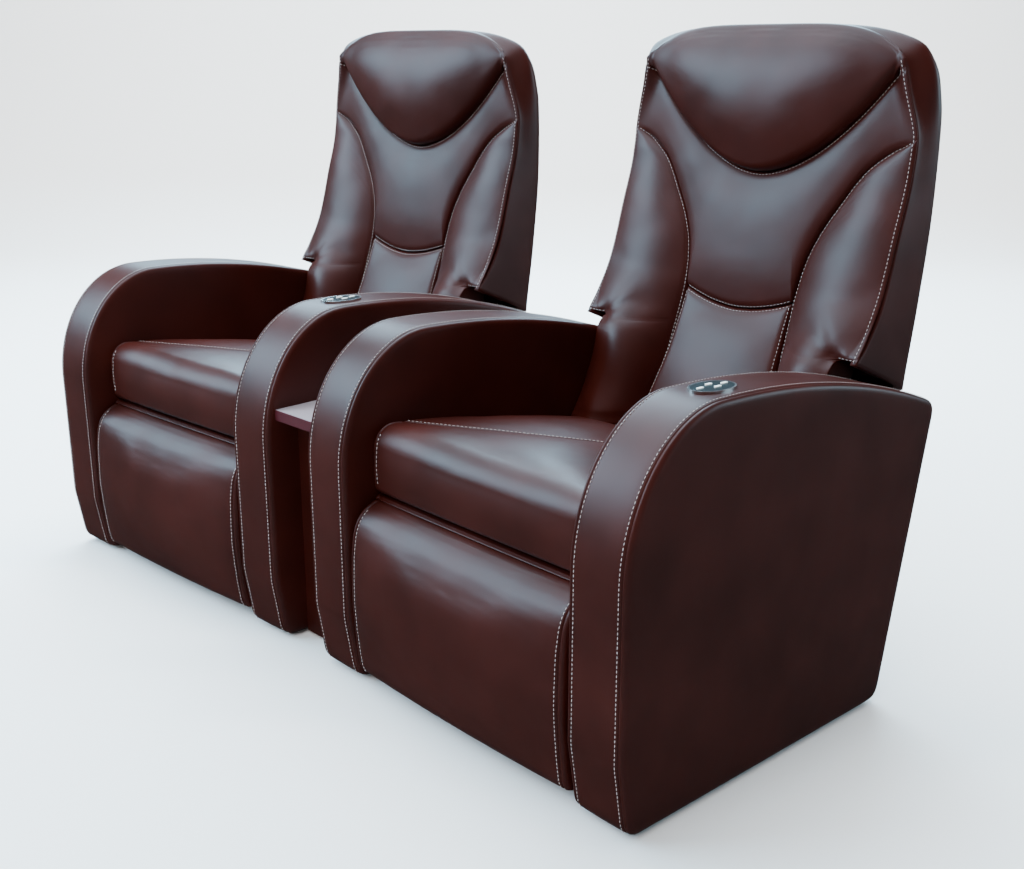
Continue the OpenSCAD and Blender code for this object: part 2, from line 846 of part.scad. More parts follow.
// Back: heights and half widths of its seams, the lean of its edge and of its rear
function spine_y(z) =
    let (share = (spine_top_z - z) / (spine_top_z - spine_foot_z))
    spine_top_y - (spine_top_y - spine_foot_y) * pow(share, 2);
function edge_y(z) = back_rear_y * lookup(z / back_h, edge_shares);
function rear_y(z) = back_rear_y * lookup(z / back_h, rear_shares);
function half_w(z) = back_w / 2 * lookup(z / back_h, width_shares);
function seam_x(z) = back_w / 2 * lookup(z / back_h, wing_seam_shares);
function crown_z(x) = back_h - crown_drop * pow(min(abs(x) / headrest_half, 1), 4.5);
// A smile-shaped seam, from 0 at its middle to 1 at its ends
function rounded(share) = pow(share * share + bow_round_share, 0.8) - pow(bow_round_share, 0.8);
function bowed(share) = rounded(share) / rounded(1);
// A ring of a pad that lies on the board: the places across, with their heights and thicknesses
function spine_ring(xs, zs, thick) =
    let (last = len(xs) - 1, ys = [for (z = zs) spine_y(z) - soft_gap])
    concat(
        [for (i = [0:last]) [xs[i], ys[i] - thick[i], zs[i]]],
        [for (i = [last:-1:0]) [xs[i], ys[i], zs[i]]]
    );
function at_rim(u, up) = abs(u) > 0.99 || up < 0.01 || up > 0.99;
function puff(u, up, rim, dome) =
    rim * (at_rim(u, up) ? 0.55 : 1) + dome * (1 - pow(abs(u), 3)) * (1 - pow(abs(2 * up - 1), 3));

module headrest_pad() {
    wide = headrest_half - seam_gap;
    bottom = headrest_low_z + seam_gap;
    color(leather)
        loft([
            for (up = [0, 0.05, 0.25, 0.5, 0.75, 0.92, 1])
                let (xs = [for (u = pad_places) u * wide])
                let (lows = [for (u = pad_places) bottom + headrest_rise * bowed(u)])
                let (zs = [for (i = [0:len(xs) - 1]) lows[i] + (crown_z(xs[i]) - lows[i]) * up])
                spine_ring(xs, zs, [for (u = pad_places) puff(u, up, headrest_rim, headrest_dome)])
        ]);
}

module centre_pad() {
    count = len(centre_shares) - 1;
    color(leather)
        loft([
            for (k = [0:count])
                let (row = centre_shares[k], half = back_w / 2 * row[0] - seam_gap)
                let (trim = k == 0 ? seam_gap : k == count ? -seam_gap : 0)
                let (zs = [for (u = pad_places) back_h * (row[1] + (row[2] - row[1]) * bowed(u)) + trim])
                spine_ring(
                    [for (u = pad_places) u * half], zs,
                    [for (u = pad_places) puff(u, k / count, centre_rim, centre_dome)]
                )
        ]);
}

module lumbar_pad() {
    high = back_h * centre_shares[0][1] - seam_gap;
    rise = back_h * (centre_shares[0][2] - centre_shares[0][1]);
    color(leather)
        loft([
            for (up = [0, 0.06, 0.3, 0.55, 0.8, 0.95, 1])
                let (highs = [for (u = pad_places) high + rise * bowed(u)])
                let (zs = [for (h = highs) lumbar_low_z + (h - lumbar_low_z) * up])
                let (xs = [for (i = [0:len(zs) - 1]) pad_places[i] * (seam_x(zs[i]) - seam_gap)])
                spine_ring(
                    xs, zs,
                    [for (u = pad_places) puff(u, up, centre_rim + lumbar_fill * (1 - up), centre_dome)]
                )
        ]);
}

// Wings: bolsters beside the centre, which step out over the arms
function wing_puff(p, full, reach) =
    let (rim = centre_rim * full, swell = wing_dome * full * sin(180 * p))
    let (rise = max(reach - rim, 0) * sin(90 * min(p * 1.6, 1)))
    max(rim + rise + swell - (p == 0 || p == 1 ? wing_edge : 0), pad_rim);

function wing_ring(z, over_arm, full) =
    let (
        near = seam_x(z) + seam_gap,
        far = over_arm ? half_w(z) - shell_wall - seam_gap : lower_pad_w / 2,
        reach = spine_y(z) - soft_gap - edge_y(z)
    )
    spine_ring(
        [for (p = wing_places) near + (far - near) * p], [for (p = wing_places) z],
        [for (p = wing_places) wing_puff(p, full, reach)]
    );

module wing_pads() {
    low_rise = wing_z - lumbar_low_z;
    high_rise = back_h * wing_top_share - wing_z;
    color(leather)
        for (s = [0, 1])
            mirror([s, 0, 0])
                loft(concat(
                    [for (r = wing_low_shares) wing_ring(lumbar_low_z + low_rise * r[0], false, r[1])],
                    [for (r = wing_high_shares) wing_ring(wing_z + high_rise * r[0], true, r[1])]
                ));
}

// Outer cover of the back: rear and side boxing round the board, and the narrow part between the arms
function both_sides(path, middle) =
    concat(path, [middle], [for (i = [len(path) - 1:-1:0]) [-path[i][0], path[i][1]]]);
function turned(path) = [for (i = [len(path) - 1:-1:0]) path[i]];
function corner(half, back, r) =
    [for (a = [0, 30, 60, 90]) [half - r * (1 - cos(a)), back - r * (1 - sin(a))]];
// Height of the side of a ring of the cover, which lies lower than its middle
function side_z(z_share) = wing_z + (back_h - crown_drop - crown_cover - wing_z) * z_share;
// The foot of the cover falls to the rear, over the top of the arms
function shell_fall(y) = shell_drop * (y - edge_y(wing_z)) / (rear_y(wing_z) - edge_y(wing_z));
function shell_ring(z_share, front, cover) =
    let (
        mid_z = wing_z + (back_h - wing_z) * z_share,
        half = half_w(side_z(z_share)) - cover,
        back = rear_y(mid_z) - cover,
        inner = min(spine_y(mid_z) + spine_board + shell_clear, back - shell_inner_r),
        half_in = half - shell_wall,
        outside = concat(
            [[half, front], [half, (front + back - shell_corner) / 2]],
            corner(half, back, shell_corner),
            [[half / 2, back + shell_bow * 0.75]]
        ),
        inside = concat(
            [[half_in, front], [half_in, (front + inner) / 2]],
            corner(half_in, inner, shell_inner_r),
            [[half / 2, inner]]
        ),
        ring = concat(
            both_sides(outside, [0, back + shell_bow]),
            turned(both_sides(inside, [0, inner]))
        )
    )
    [
        for (p = ring)
            let (high = crown_z(p[0]) - crown_cover, fade = max(1 - z_share / shell_fade_share, 0))
            [p[0], p[1], wing_z + (high - wing_z) * z_share - shell_fall(p[1]) * fade]
    ];

module back_shell() {
    lower = [for (i = [0:shell_rows]) spine_foot_z + (wing_z + overrun - spine_foot_z) * i / shell_rows];
    color(leather) {
        loft([
            for (row = shell_shares)
                shell_ring(row[0], edge_y(side_z(row[0])) + shell_lip * row[1], shell_lip * row[2])
        ]);
        across(-lower_back_w / 2 + overrun, lower_back_w / 2 - overrun)
            polygon(concat(
                [for (z = lower) [spine_y(z) + spine_board + soft_gap, z]],
                turned([for (z = lower) [rear_y(z), z]])
            ));
    }
}

// Board of the back, with its brackets, hinge tube and crank
module board_outline() {
    inset = shell_wall + seam_gap;
    high = back_h - crown_cover - 2 * inset;
    rows = [for (i = [0:shell_rows]) wing_z + overrun + (high - wing_z) * i / shell_rows];
    upper = [
        for (z = rows)
            let (half = half_w(z) - inset)
            [half - board_clear, min(z, crown_z(half) - crown_cover - inset)]
    ];
    half = lower_back_w / 2;
    right_side = concat([[half, spine_foot_z], [half, wing_z + overrun]], upper);
    polygon(concat(right_side, turned([for (p = right_side) [-p[0], p[1]]])));
}

module back_board() {
    rows = [for (i = [0:board_rows]) spine_foot_z + (back_h - spine_foot_z) * i / board_rows];
    intersection() {
        across(-back_w / 2, back_w / 2)
            polygon(concat(
                [for (z = rows) [spine_y(z), z]],
                turned([for (z = rows) [spine_y(z) + spine_board, z]])
            ));
        translate([0, back_rear_y, 0])
            rotate([90, 0, 0])
                linear_extrude(height = back_rear_y)
                    board_outline();
    }
}

module back_frame() {
    crank_angle = recline_angle / 2 - 90;
    crank_end = [hinge_y, hinge_z] + back_crank_r * [cos(crank_angle), sin(crank_angle)];
    color(board_wood)
        back_board();
    color(black_steel) {
        for (x = [bracket_x, -bracket_x - bracket_t])
            across(x, x + bracket_t) {
                translate([hinge_y, hinge_z])
                    circle(r = 2 * hinge_tube_r, $fn = facet);
                polygon([
                    [hinge_y - 2 * hinge_tube_r, hinge_z], [hinge_y + 2 * hinge_tube_r, hinge_z],
                    [spine_y(bracket_top_z) + 4 * spine_board, bracket_top_z],
                    [spine_y(bracket_top_z) + soft_gap, bracket_top_z],
                    [spine_y(bracket_mid_z) + 2 * soft_gap, bracket_mid_z],
                    [spine_y(bracket_low_z) + 2 * soft_gap, bracket_low_z],
                    [spine_y(spine_foot_z) + spine_board, spine_foot_z]
                ]);
            }
        pin_across(-bracket_x - overrun, bracket_x + overrun, [hinge_y, hinge_z], hinge_tube_r);
        across(crank_x - crank_t / 2, crank_x + crank_t / 2)
            link_shape([hinge_y, hinge_z], crank_end, hinge_eye, link_w);
        pin_across(crank_x - crank_t / 2 - 2 * ear_t, crank_x + crank_t / 2, crank_end, ear_t);
    }
}

// Console: a wedge between the two seats, narrow in front
function console_half(y) = console_gap / 2 + y * tan(seat_turn) - console_gap_side;
module console_wedge(front, rear, cut) {
    polygon([
        [-console_half(front) + cut, front], [console_half(front) - cut, front],
        [console_half(rear) - cut, rear], [-console_half(rear) + cut, rear]
    ]);
}

module console_top() {
    color(console_grey)
        translate([0, -origin_y, console_top_z - console_top_t])
            linear_extrude(height = console_top_t)
                console_wedge(console_front_y, console_rear_y, 0);
}

module console_front() {
    color(leather)
        translate([0, -origin_y, glide_h])
            linear_extrude(height = console_top_z - console_top_t - glide_h)
                console_wedge(console_recess, console_recess + console_wall, 0);
}

module console_box() {
    high = console_top_z - console_top_t;
    front = console_recess + console_wall;
    color(black_steel)
        translate([0, -origin_y, console_lift])
            linear_extrude(height = high - console_lift)
                difference() {
                    console_wedge(front, console_rear_y, 0);
                    console_wedge(front + console_wall, console_rear_y - console_wall, console_wall);
                }
}

module glides() {
    for (side = [left, right])
        place(side)
            arm_glides();
}

module switch_bezels() {
    for (side = [left, right])
        place(side)
            switch_bezel();
}

module switch_plates() {
    for (side = [left, right])
        place(side)
            switch_plate();
}

place(left) switch_arm();  // left_inner_arm
place(left) plain_arm();  // left_outer_arm
place(right) plain_arm();  // right_inner_arm
place(right) switch_arm();  // right_outer_arm
place(left) base_frame();  // left_base_frame
place(left) seat_frame();  // left_seat_frame
place(left) seat_webbing();  // left_seat_webbing
place(left) seat_cushion();  // left_seat_cushion
place(left) footrest_motor();  // left_footrest_motor
place(left) back_motor();  // left_back_motor
place(left) swing_links();  // left_swing_links
place(left) reach_links();  // left_reach_links
place(left) guide_links();  // left_guide_links
place(left) footrest_links();  // left_footrest_links
place(left) footrest_board();  // left_footrest_board
place(left) footrest_pad();  // left_footrest_pad
place(left) footrest_slider();  // left_footrest_slider
place(left) back_slider();  // left_back_slider
place(left) back_frame();  // left_back_frame
place(left) back_shell();  // left_back_shell
place(left) headrest_pad();  // left_headrest_pad
place(left) centre_pad();  // left_centre_pad
place(left) lumbar_pad();  // left_lumbar_pad
place(left) wing_pads();  // left_wing_pads
place(left) key(0);  // left_legrest_key
place(left) key(1);  // left_out_key
place(left) key(2);  // left_in_key
place(left) key(3);  // left_recline_key
place(right) base_frame();  // right_base_frame
place(right) seat_frame();  // right_seat_frame
place(right) seat_webbing();  // right_seat_webbing
place(right) seat_cushion();  // right_seat_cushion
place(right) footrest_motor();  // right_footrest_motor
place(right) back_motor();  // right_back_motor
place(right) swing_links();  // right_swing_links
place(right) reach_links();  // right_reach_links
place(right) guide_links();  // right_guide_links
place(right) footrest_links();  // right_footrest_links
place(right) footrest_board();  // right_footrest_board
place(right) footrest_pad();  // right_footrest_pad
place(right) footrest_slider();  // right_footrest_slider
place(right) back_slider();  // right_back_slider
place(right) back_frame();  // right_back_frame
place(right) back_shell();  // right_back_shell
place(right) headrest_pad();  // right_headrest_pad
place(right) centre_pad();  // right_centre_pad
place(right) lumbar_pad();  // right_lumbar_pad
place(right) wing_pads();  // right_wing_pads
place(right) key(0);  // right_legrest_key
place(right) key(1);  // right_out_key
place(right) key(2);  // right_in_key
place(right) key(3);  // right_recline_key
switch_bezels();
switch_plates();
glides();
console_box();
console_front();
console_top();
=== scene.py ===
"""Two-place home cinema recliner: the upholstery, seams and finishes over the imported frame."""
import math

import bmesh
import bpy
import numpy as np
from bpy.props import FloatProperty, FloatVectorProperty, PointerProperty
from bpy.types import Operator, Panel, PropertyGroup
from mathutils import Matrix, Vector
from mathutils.bvhtree import BVHTree
from mathutils.kdtree import KDTree


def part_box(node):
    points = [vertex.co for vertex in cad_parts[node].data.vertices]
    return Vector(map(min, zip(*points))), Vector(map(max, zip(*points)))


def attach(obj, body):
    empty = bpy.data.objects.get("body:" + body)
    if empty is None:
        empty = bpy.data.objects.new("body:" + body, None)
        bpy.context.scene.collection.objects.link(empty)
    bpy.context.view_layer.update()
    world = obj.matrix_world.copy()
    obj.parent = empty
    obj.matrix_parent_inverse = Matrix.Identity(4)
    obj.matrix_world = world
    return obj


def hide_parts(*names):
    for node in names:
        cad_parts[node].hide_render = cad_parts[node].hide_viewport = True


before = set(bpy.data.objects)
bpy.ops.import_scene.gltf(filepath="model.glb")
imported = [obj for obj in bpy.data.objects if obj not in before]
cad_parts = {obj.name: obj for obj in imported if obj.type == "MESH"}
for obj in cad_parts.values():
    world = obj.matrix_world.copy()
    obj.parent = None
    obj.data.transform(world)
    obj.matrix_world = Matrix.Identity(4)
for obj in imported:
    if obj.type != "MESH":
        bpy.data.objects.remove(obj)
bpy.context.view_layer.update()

bl_info = {
    "name": "Cinema recliner pair",
    "version": (1, 0, 0),
    "blender": (4, 5, 0),
    "location": "View3D > Sidebar > Recliner",
    "description": "Upholsters a packed pair of home cinema recliners",
    "category": "Object",
}

SIDES = {"left": -1, "right": 1}

# Places in one seat, in millimetres: x across from its centre, y back from the front of its arms, z up
ARM_X, ARM_HALF, ARM_CREST_Y, ARM_SHOULDER_Z, ARM_TOP_Z, ARM_TOP_R = 332, 57, 192, 400, 636, 1600
SHARP_R, BLUNT_R = 32, 80
SPINE_TOP_Y, SPINE_TOP_Z, SPINE_FOOT_Y, SPINE_FOOT_Z = 780, 1120, 620, 385
BACK_H, BACK_HALF, BACK_REAR_Y = 1147, 314, 839
HEAD_HALF, HEAD_END, HEAD_LOW_Z, HEAD_RISE = 268, 284, 889, 183.5
LUMBAR_LOW_Z, LUMBAR_HALF, LUMBAR_SEAM_Z, LUMBAR_SEAM_RISE = 404, 123, 643, 25
WING_LOW_Z, WING_STEP_Z, WING_TOP_Z, ARM_SIDE_X = 404, 602, 961, 270
CUSHION_FRONT, CUSHION_LONG, CUSHION_HALF, CUSHION_TOP, CUSHION_BOTTOM = 62, 520, 272, 478, 341.3
CUSHION_SIDE_R, CUSHION_NOSE_R, CUSHION_CHIN_R, CUSHION_HEEL_R = 16, 40, 13, 20
PAD_HALF, PAD_LOW_Z, PAD_HIGH_Z, PAD_BACK_Y, PAD_DEPTH = 267, 30, 355, 76.7, 84
# Where the back's cover narrows to pass between the arms, where its hem is sewn over them, how far the
# thread lies from a seam, and the corner seams of the cushion and footrest as shares of half their widths
COVER_FOOT_Z, HEM_Z, BESIDE_SEAM = 600, 606, 4.5
CUSHION_CORNER, PAD_CORNER = 0.988, 0.962
# Half the width left open at a seam between two panels, how far the pads stand off the board behind them,
# and the thickness of the cover's wall
SEAM_OPEN, OFF_BOARD, WALL = 0.5, 0.3, 12

# Outlines of the back, as shares of its full height and depth or half width: the cover's edge in front,
# its rear, its half width in front and at the rear, and the seam of the bolsters
EDGE = [(0.336, 0.62), (0.384, 0.665), (0.439, 0.7), (0.508, 0.734), (0.555, 0.78), (0.615, 0.825),
        (0.707, 0.864), (0.788, 0.896), (0.838, 0.904), (0.9, 0.898), (0.95, 0.893), (1, 0.905)]
REAR = [(0.336, 0.91), (0.467, 0.944), (0.522, 0.952), (0.638, 0.975), (0.759, 0.988), (0.87, 0.982),
        (0.905, 0.974), (0.949, 0.962), (0.985, 0.952), (1, 0.947)]
WIDTH = [(0.3, 1), (0.78, 1), (0.838, 0.998), (0.857, 0.985), (0.906, 0.935), (0.95, 0.9), (0.985, 0.88),
         (1, 0.87)]
REAR_WIDTH = [(0.3, 1), (0.52, 1), (0.74, 1.02), (0.86, 1.03), (0.92, 1.02), (0.95, 1.0), (0.97, 0.98),
              (1, 0.95)]
WING_SEAM = [(0.34, 0.45), (0.39, 0.44), (0.49, 0.4), (0.582, 0.392), (0.615, 0.401), (0.65, 0.424),
             (0.689, 0.478), (0.734, 0.573), (0.785, 0.7), (0.815, 0.834), (0.833, 0.955), (0.8385, 0.995)]
# The footrest pad's fullness, as a share of its depth, from its foot to its top
PAD = [(0, 0.66), (0.02, 0.72), (0.06, 0.77), (0.27, 0.86), (0.46, 0.9), (0.67, 0.88), (0.81, 0.82),
       (0.88, 0.73), (0.93, 0.58), (0.955, 0.44), (0.975, 0.26), (1, 0.15)]

# The seats in their row: each is turned towards the middle, on its side of the console
SEAT_TURN, CONSOLE_GAP, UNIT_W, CONSOLE_FRONT_Y = math.radians(2.29), 122, 778, 22
ORIGIN_Y = CONSOLE_FRONT_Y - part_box("console_top")[0].y * 1000

# The photograph's view: how far the camera is turned, and tilted up from looking straight down
VIEW_TURN, VIEW_TILT = math.radians(45.79), math.radians(73.19)


def place(side):
    """The matrix from a seat's own millimetres to the row frame's metres."""
    return (Matrix.Scale(0.001, 4) @ Matrix.Translation((side * CONSOLE_GAP / 2, -ORIGIN_Y, 0))
            @ Matrix.Rotation(-side * SEAT_TURN, 4, "Z") @ Matrix.Translation((side * UNIT_W / 2, 0, 0)))


def smooth(table):
    """A smooth curve through a table of places, which doesn't overshoot between them."""
    rows = np.array(table, float)
    x, y = rows[:, 0], rows[:, 1]
    rate = np.diff(y) / np.diff(x)
    mean = np.where(rate[:-1] * rate[1:] > 0, 2 * rate[:-1] * rate[1:] / (rate[:-1] + rate[1:] + 1e-12), 0)
    slope = np.concatenate([[rate[0]], mean, [rate[-1]]])

    def at(t):
        t = np.clip(t, x[0], x[-1])
        i = np.clip(np.searchsorted(x, t) - 1, 0, len(x) - 2)
        h = x[i + 1] - x[i]
        s = (t - x[i]) / h
        return ((2 * s**3 - 3 * s**2 + 1) * y[i] + (s**3 - 2 * s**2 + s) * h * slope[i]
                + (3 * s**2 - 2 * s**3) * y[i + 1] + (s**3 - s**2) * h * slope[i + 1])
    return at


TABLES = (EDGE, REAR, WIDTH, REAR_WIDTH, WING_SEAM, PAD)
edge_at, rear_at, width_at, rear_width_at, seam_at, pad_at = (smooth(table) for table in TABLES)


def spine_y(z):
    """Where the face of the board behind the pads lies at a height."""
    down = (SPINE_TOP_Z - z) / (SPINE_TOP_Z - SPINE_FOOT_Z)
    return SPINE_TOP_Y - (SPINE_TOP_Y - SPINE_FOOT_Y) * down ** 2


def edge_y(z):
    """Where the front edge of the back's cover lies at a height."""
    return BACK_REAR_Y * edge_at(z / BACK_H)


def back_y(z):
    """Where the rear of the back's cover lies at a height."""
    return BACK_REAR_Y * rear_at(z / BACK_H)


def half_w(z):
    """Half the back's width in front at a height."""
    return BACK_HALF * width_at(z / BACK_H)


def rear_half_w(z):
    """Half the back's width at its rear at a height."""
    return BACK_HALF * rear_width_at(z / BACK_H)


def seam_x(z):
    """How far from the middle a bolster's inner seam lies at a height."""
    return BACK_HALF * seam_at(z / BACK_H)


def crown_z(x):
    """The top of the headrest, and of the cover's edge in front."""
    return BACK_H - 45 * (np.abs(x) / HEAD_HALF) ** 4.5


def rear_crown_z(x):
    """The top of the cover at its rear, which is squarer than the headrest's."""
    return BACK_H - 22 * (np.abs(x) / HEAD_HALF) ** 4.2


def roll(distance, radius):
    """How far a turned edge has risen, from 0 to 1, at a distance in from its seam."""
    t = 1 - np.clip(distance / radius, 0, 1)
    return np.sqrt(1 - t * t)


def spread(count, tight):
    """Places from 0 to 1 that lie closer together near both ends."""
    t = np.linspace(0, 1, count)
    return t + (0.5 - 0.5 * np.cos(math.pi * t) - t) * tight


# Meshes


def new_mesh(name, points, faces, smooth_faces=True):
    """A mesh with its doubles merged and its faces turned outwards."""
    mesh = bpy.data.meshes.new(name)
    mesh.from_pydata([tuple(p) for p in points], [], [tuple(f) for f in faces])
    bm = bmesh.new()
    bm.from_mesh(mesh)
    bmesh.ops.remove_doubles(bm, verts=bm.verts, dist=1e-4)
    bmesh.ops.recalc_face_normals(bm, faces=bm.faces)
    bm.to_mesh(mesh)
    bm.free()
    mesh.polygons.foreach_set("use_smooth", [smooth_faces] * len(mesh.polygons))
    return mesh


def sheet_pair(front, back, held):
    """Points, faces and held points of a closed pad from its face and its rear, two grids of places."""
    m, n = front.shape[:2]
    points = np.concatenate([front.reshape(-1, 3), back.reshape(-1, 3)])
    at = lambda side, i, j: side * m * n + i * n + j
    faces = []
    for i in range(m - 1):
        for j in range(n - 1):
            faces.append((at(0, i, j), at(0, i, j + 1), at(0, i + 1, j + 1), at(0, i + 1, j)))
            faces.append((at(1, i, j), at(1, i + 1, j), at(1, i + 1, j + 1), at(1, i, j + 1)))
    rim = ([(0, j) for j in range(n)] + [(i, n - 1) for i in range(1, m)]
           + [(m - 1, j) for j in range(n - 2, -1, -1)] + [(i, 0) for i in range(m - 2, 0, -1)])
    for a, b in zip(rim, rim[1:] + rim[:1]):
        faces.append((at(0, *a), at(1, *a), at(1, *b), at(0, *b)))
    return points, faces, np.concatenate([held.ravel(), np.ones(m * n, bool)])


def rings(loops, closed_caps=True):
    """Points and faces of a tube through closed loops of equally many points."""
    m, n = loops.shape[:2]
    faces = [(i * n + j, i * n + (j + 1) % n, (i + 1) * n + (j + 1) % n, (i + 1) * n + j)
             for i in range(m - 1) for j in range(n)]
    points = list(loops.reshape(-1, 3))
    if closed_caps:
        for i in (0, m - 1):
            middle = len(points)
            points.append(loops[i].mean(0))
            faces += [(i * n + j, i * n + (j + 1) % n, middle) for j in range(n)]
    return np.array(points), faces


def add_piece(name, mesh, side, material, body, nodes=()):
    """Sets a mesh in a seat's own millimetres on its body in the row frame."""
    mesh = mesh.copy()
    mesh.name = name
    mesh.transform(place(side) if side else Matrix.Scale(0.001, 4))
    mesh.materials.clear()
    mesh.materials.append(material)
    piece = bpy.data.objects.new(name, mesh)
    bpy.context.scene.collection.objects.link(piece)
    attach(piece, body)
    if nodes:
        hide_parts(*nodes)
    return piece


# Materials


def linear(hex_colour):
    """A linear colour from an sRGB hex value."""
    parts = [int(hex_colour[i:i + 2], 16) / 255 for i in (1, 3, 5)]
    return tuple(c / 12.92 if c <= 0.04045 else ((c + 0.055) / 1.055) ** 2.4 for c in parts) + (1,)


def node(tree, kind, links=(), **settings):
    """Adds a node with its settings, and joins outputs to its named inputs."""
    made = tree.nodes.new(kind)
    for key, value in settings.items():
        if key.startswith("in_"):
            made.inputs[key[3:].replace("_", " ")].default_value = value
        elif key == "stops":
            for stop, (position, colour) in zip(made.color_ramp.elements, value):
                stop.position = position
                stop.color = linear(colour)
        else:
            setattr(made, key, value)
    for name, output in dict(links).items():
        tree.links.new(output, made.inputs[name])
    return made


def shader(name, **settings):
    """A new material with its surface's even values set."""
    material = bpy.data.materials.new(name)
    material.use_nodes = True
    tree = material.node_tree
    bsdf = tree.nodes["Principled BSDF"]
    for key, value in settings.items():
        bsdf.inputs[key.replace("_", " ")].default_value = value
    return material, tree, bsdf


def dressed(tree, bsdf, **outputs):
    """Joins nodes' outputs to the surface's inputs, with _ for a space in an input's name."""
    for name, output in outputs.items():
        tree.links.new(output, bsdf.inputs[name.replace("_", " ")])


def leatherette(name, dark, light, roughness):
    """Coated upholstery cloth with an embossed grain: a satin gloss, and creased cells close up."""
    material, tree, bsdf = shader(name, Roughness=roughness, Specular_IOR_Level=0.3)
    place_at = {"Vector": node(tree, "ShaderNodeTexCoord").outputs["Object"]}
    # Grain cells are about 1.6 mm, drawn coarser than the real 0.8 mm so that they show
    cells = node(tree, "ShaderNodeTexVoronoi", place_at, in_Scale=620.0, feature="DISTANCE_TO_EDGE")
    # Pores are about 0.7 mm, and the tone wanders over about 120 mm as hide-like cloth does
    pores = node(tree, "ShaderNodeTexNoise", place_at, in_Scale=1400.0, in_Detail=3.0)
    broad = node(tree, "ShaderNodeTexNoise", place_at, in_Scale=8.0, in_Detail=5.0)
    tone = node(tree, "ShaderNodeValToRGB", {"Fac": broad.outputs["Fac"]}, stops=[(0.3, dark), (0.7, light)])
    rough = node(tree, "ShaderNodeMapRange", {"Value": broad.outputs["Fac"]},
                 in_To_Min=roughness - 0.05, in_To_Max=roughness + 0.06)
    # The foam under the cloth is a little uneven, over about 70 mm
    uneven = node(tree, "ShaderNodeTexNoise", place_at, in_Scale=14.0, in_Detail=1.0)
    foam = node(tree, "ShaderNodeBump", {"Height": uneven.outputs["Fac"]},
                in_Strength=0.25, in_Distance=0.004)
    creases = node(tree, "ShaderNodeBump",
                   {"Height": cells.outputs["Distance"], "Normal": foam.outputs["Normal"]},
                   in_Strength=0.3, in_Distance=0.00025)
    fine = node(tree, "ShaderNodeBump", {"Height": pores.outputs["Fac"], "Normal": creases.outputs["Normal"]},
                in_Strength=0.16, in_Distance=0.00015)
    dressed(tree, bsdf, Base_Color=tone.outputs["Color"], Roughness=rough.outputs["Result"],
            Normal=fine.outputs["Normal"])
    return material


def speckled(name, dark, light, roughness, scale, strength, metallic=0.0):
    """A finish that varies by fine noise, such as paint, zinc plating or moulded plastic.

    The scale is patches in a metre, so 1000 gives patches of 1 mm."""
    material, tree, bsdf = shader(name, Metallic=metallic, Roughness=roughness)
    place_at = {"Vector": node(tree, "ShaderNodeTexCoord").outputs["Object"]}
    specks = node(tree, "ShaderNodeTexNoise", place_at, in_Scale=scale, in_Detail=4.0).outputs["Fac"]
    tone = node(tree, "ShaderNodeValToRGB", {"Fac": specks}, stops=[(0.35, dark), (0.65, light)])
    rough = node(tree, "ShaderNodeMapRange", {"Value": specks},
                 in_To_Min=roughness - 0.08, in_To_Max=roughness + 0.08)
    bumped = node(tree, "ShaderNodeBump", {"Height": specks}, in_Strength=strength, in_Distance=0.0002)
    dressed(tree, bsdf, Base_Color=tone.outputs["Color"], Roughness=rough.outputs["Result"],
            Normal=bumped.outputs["Normal"])
    return material


def grained(name, dark, light, roughness, scale):
    """Wood or woven strap whose tone runs in long streaks along one axis."""
    material, tree, bsdf = shader(name, Roughness=roughness)
    place_at = {"Vector": node(tree, "ShaderNodeTexCoord").outputs["Object"]}
    along = node(tree, "ShaderNodeMapping", place_at, in_Scale=(1.0, 9.0, 9.0))
    streaks = node(tree, "ShaderNodeTexNoise", {"Vector": along.outputs["Vector"]},
                   in_Scale=scale, in_Detail=5.0, in_Distortion=0.6).outputs["Fac"]
    tone = node(tree, "ShaderNodeValToRGB", {"Fac": streaks}, stops=[(0.3, dark), (0.7, light)])
    bumped = node(tree, "ShaderNodeBump", {"Height": streaks}, in_Strength=0.2, in_Distance=0.0003)
    dressed(tree, bsdf, Base_Color=tone.outputs["Color"], Normal=bumped.outputs["Normal"])
    return material


MATERIALS = {}


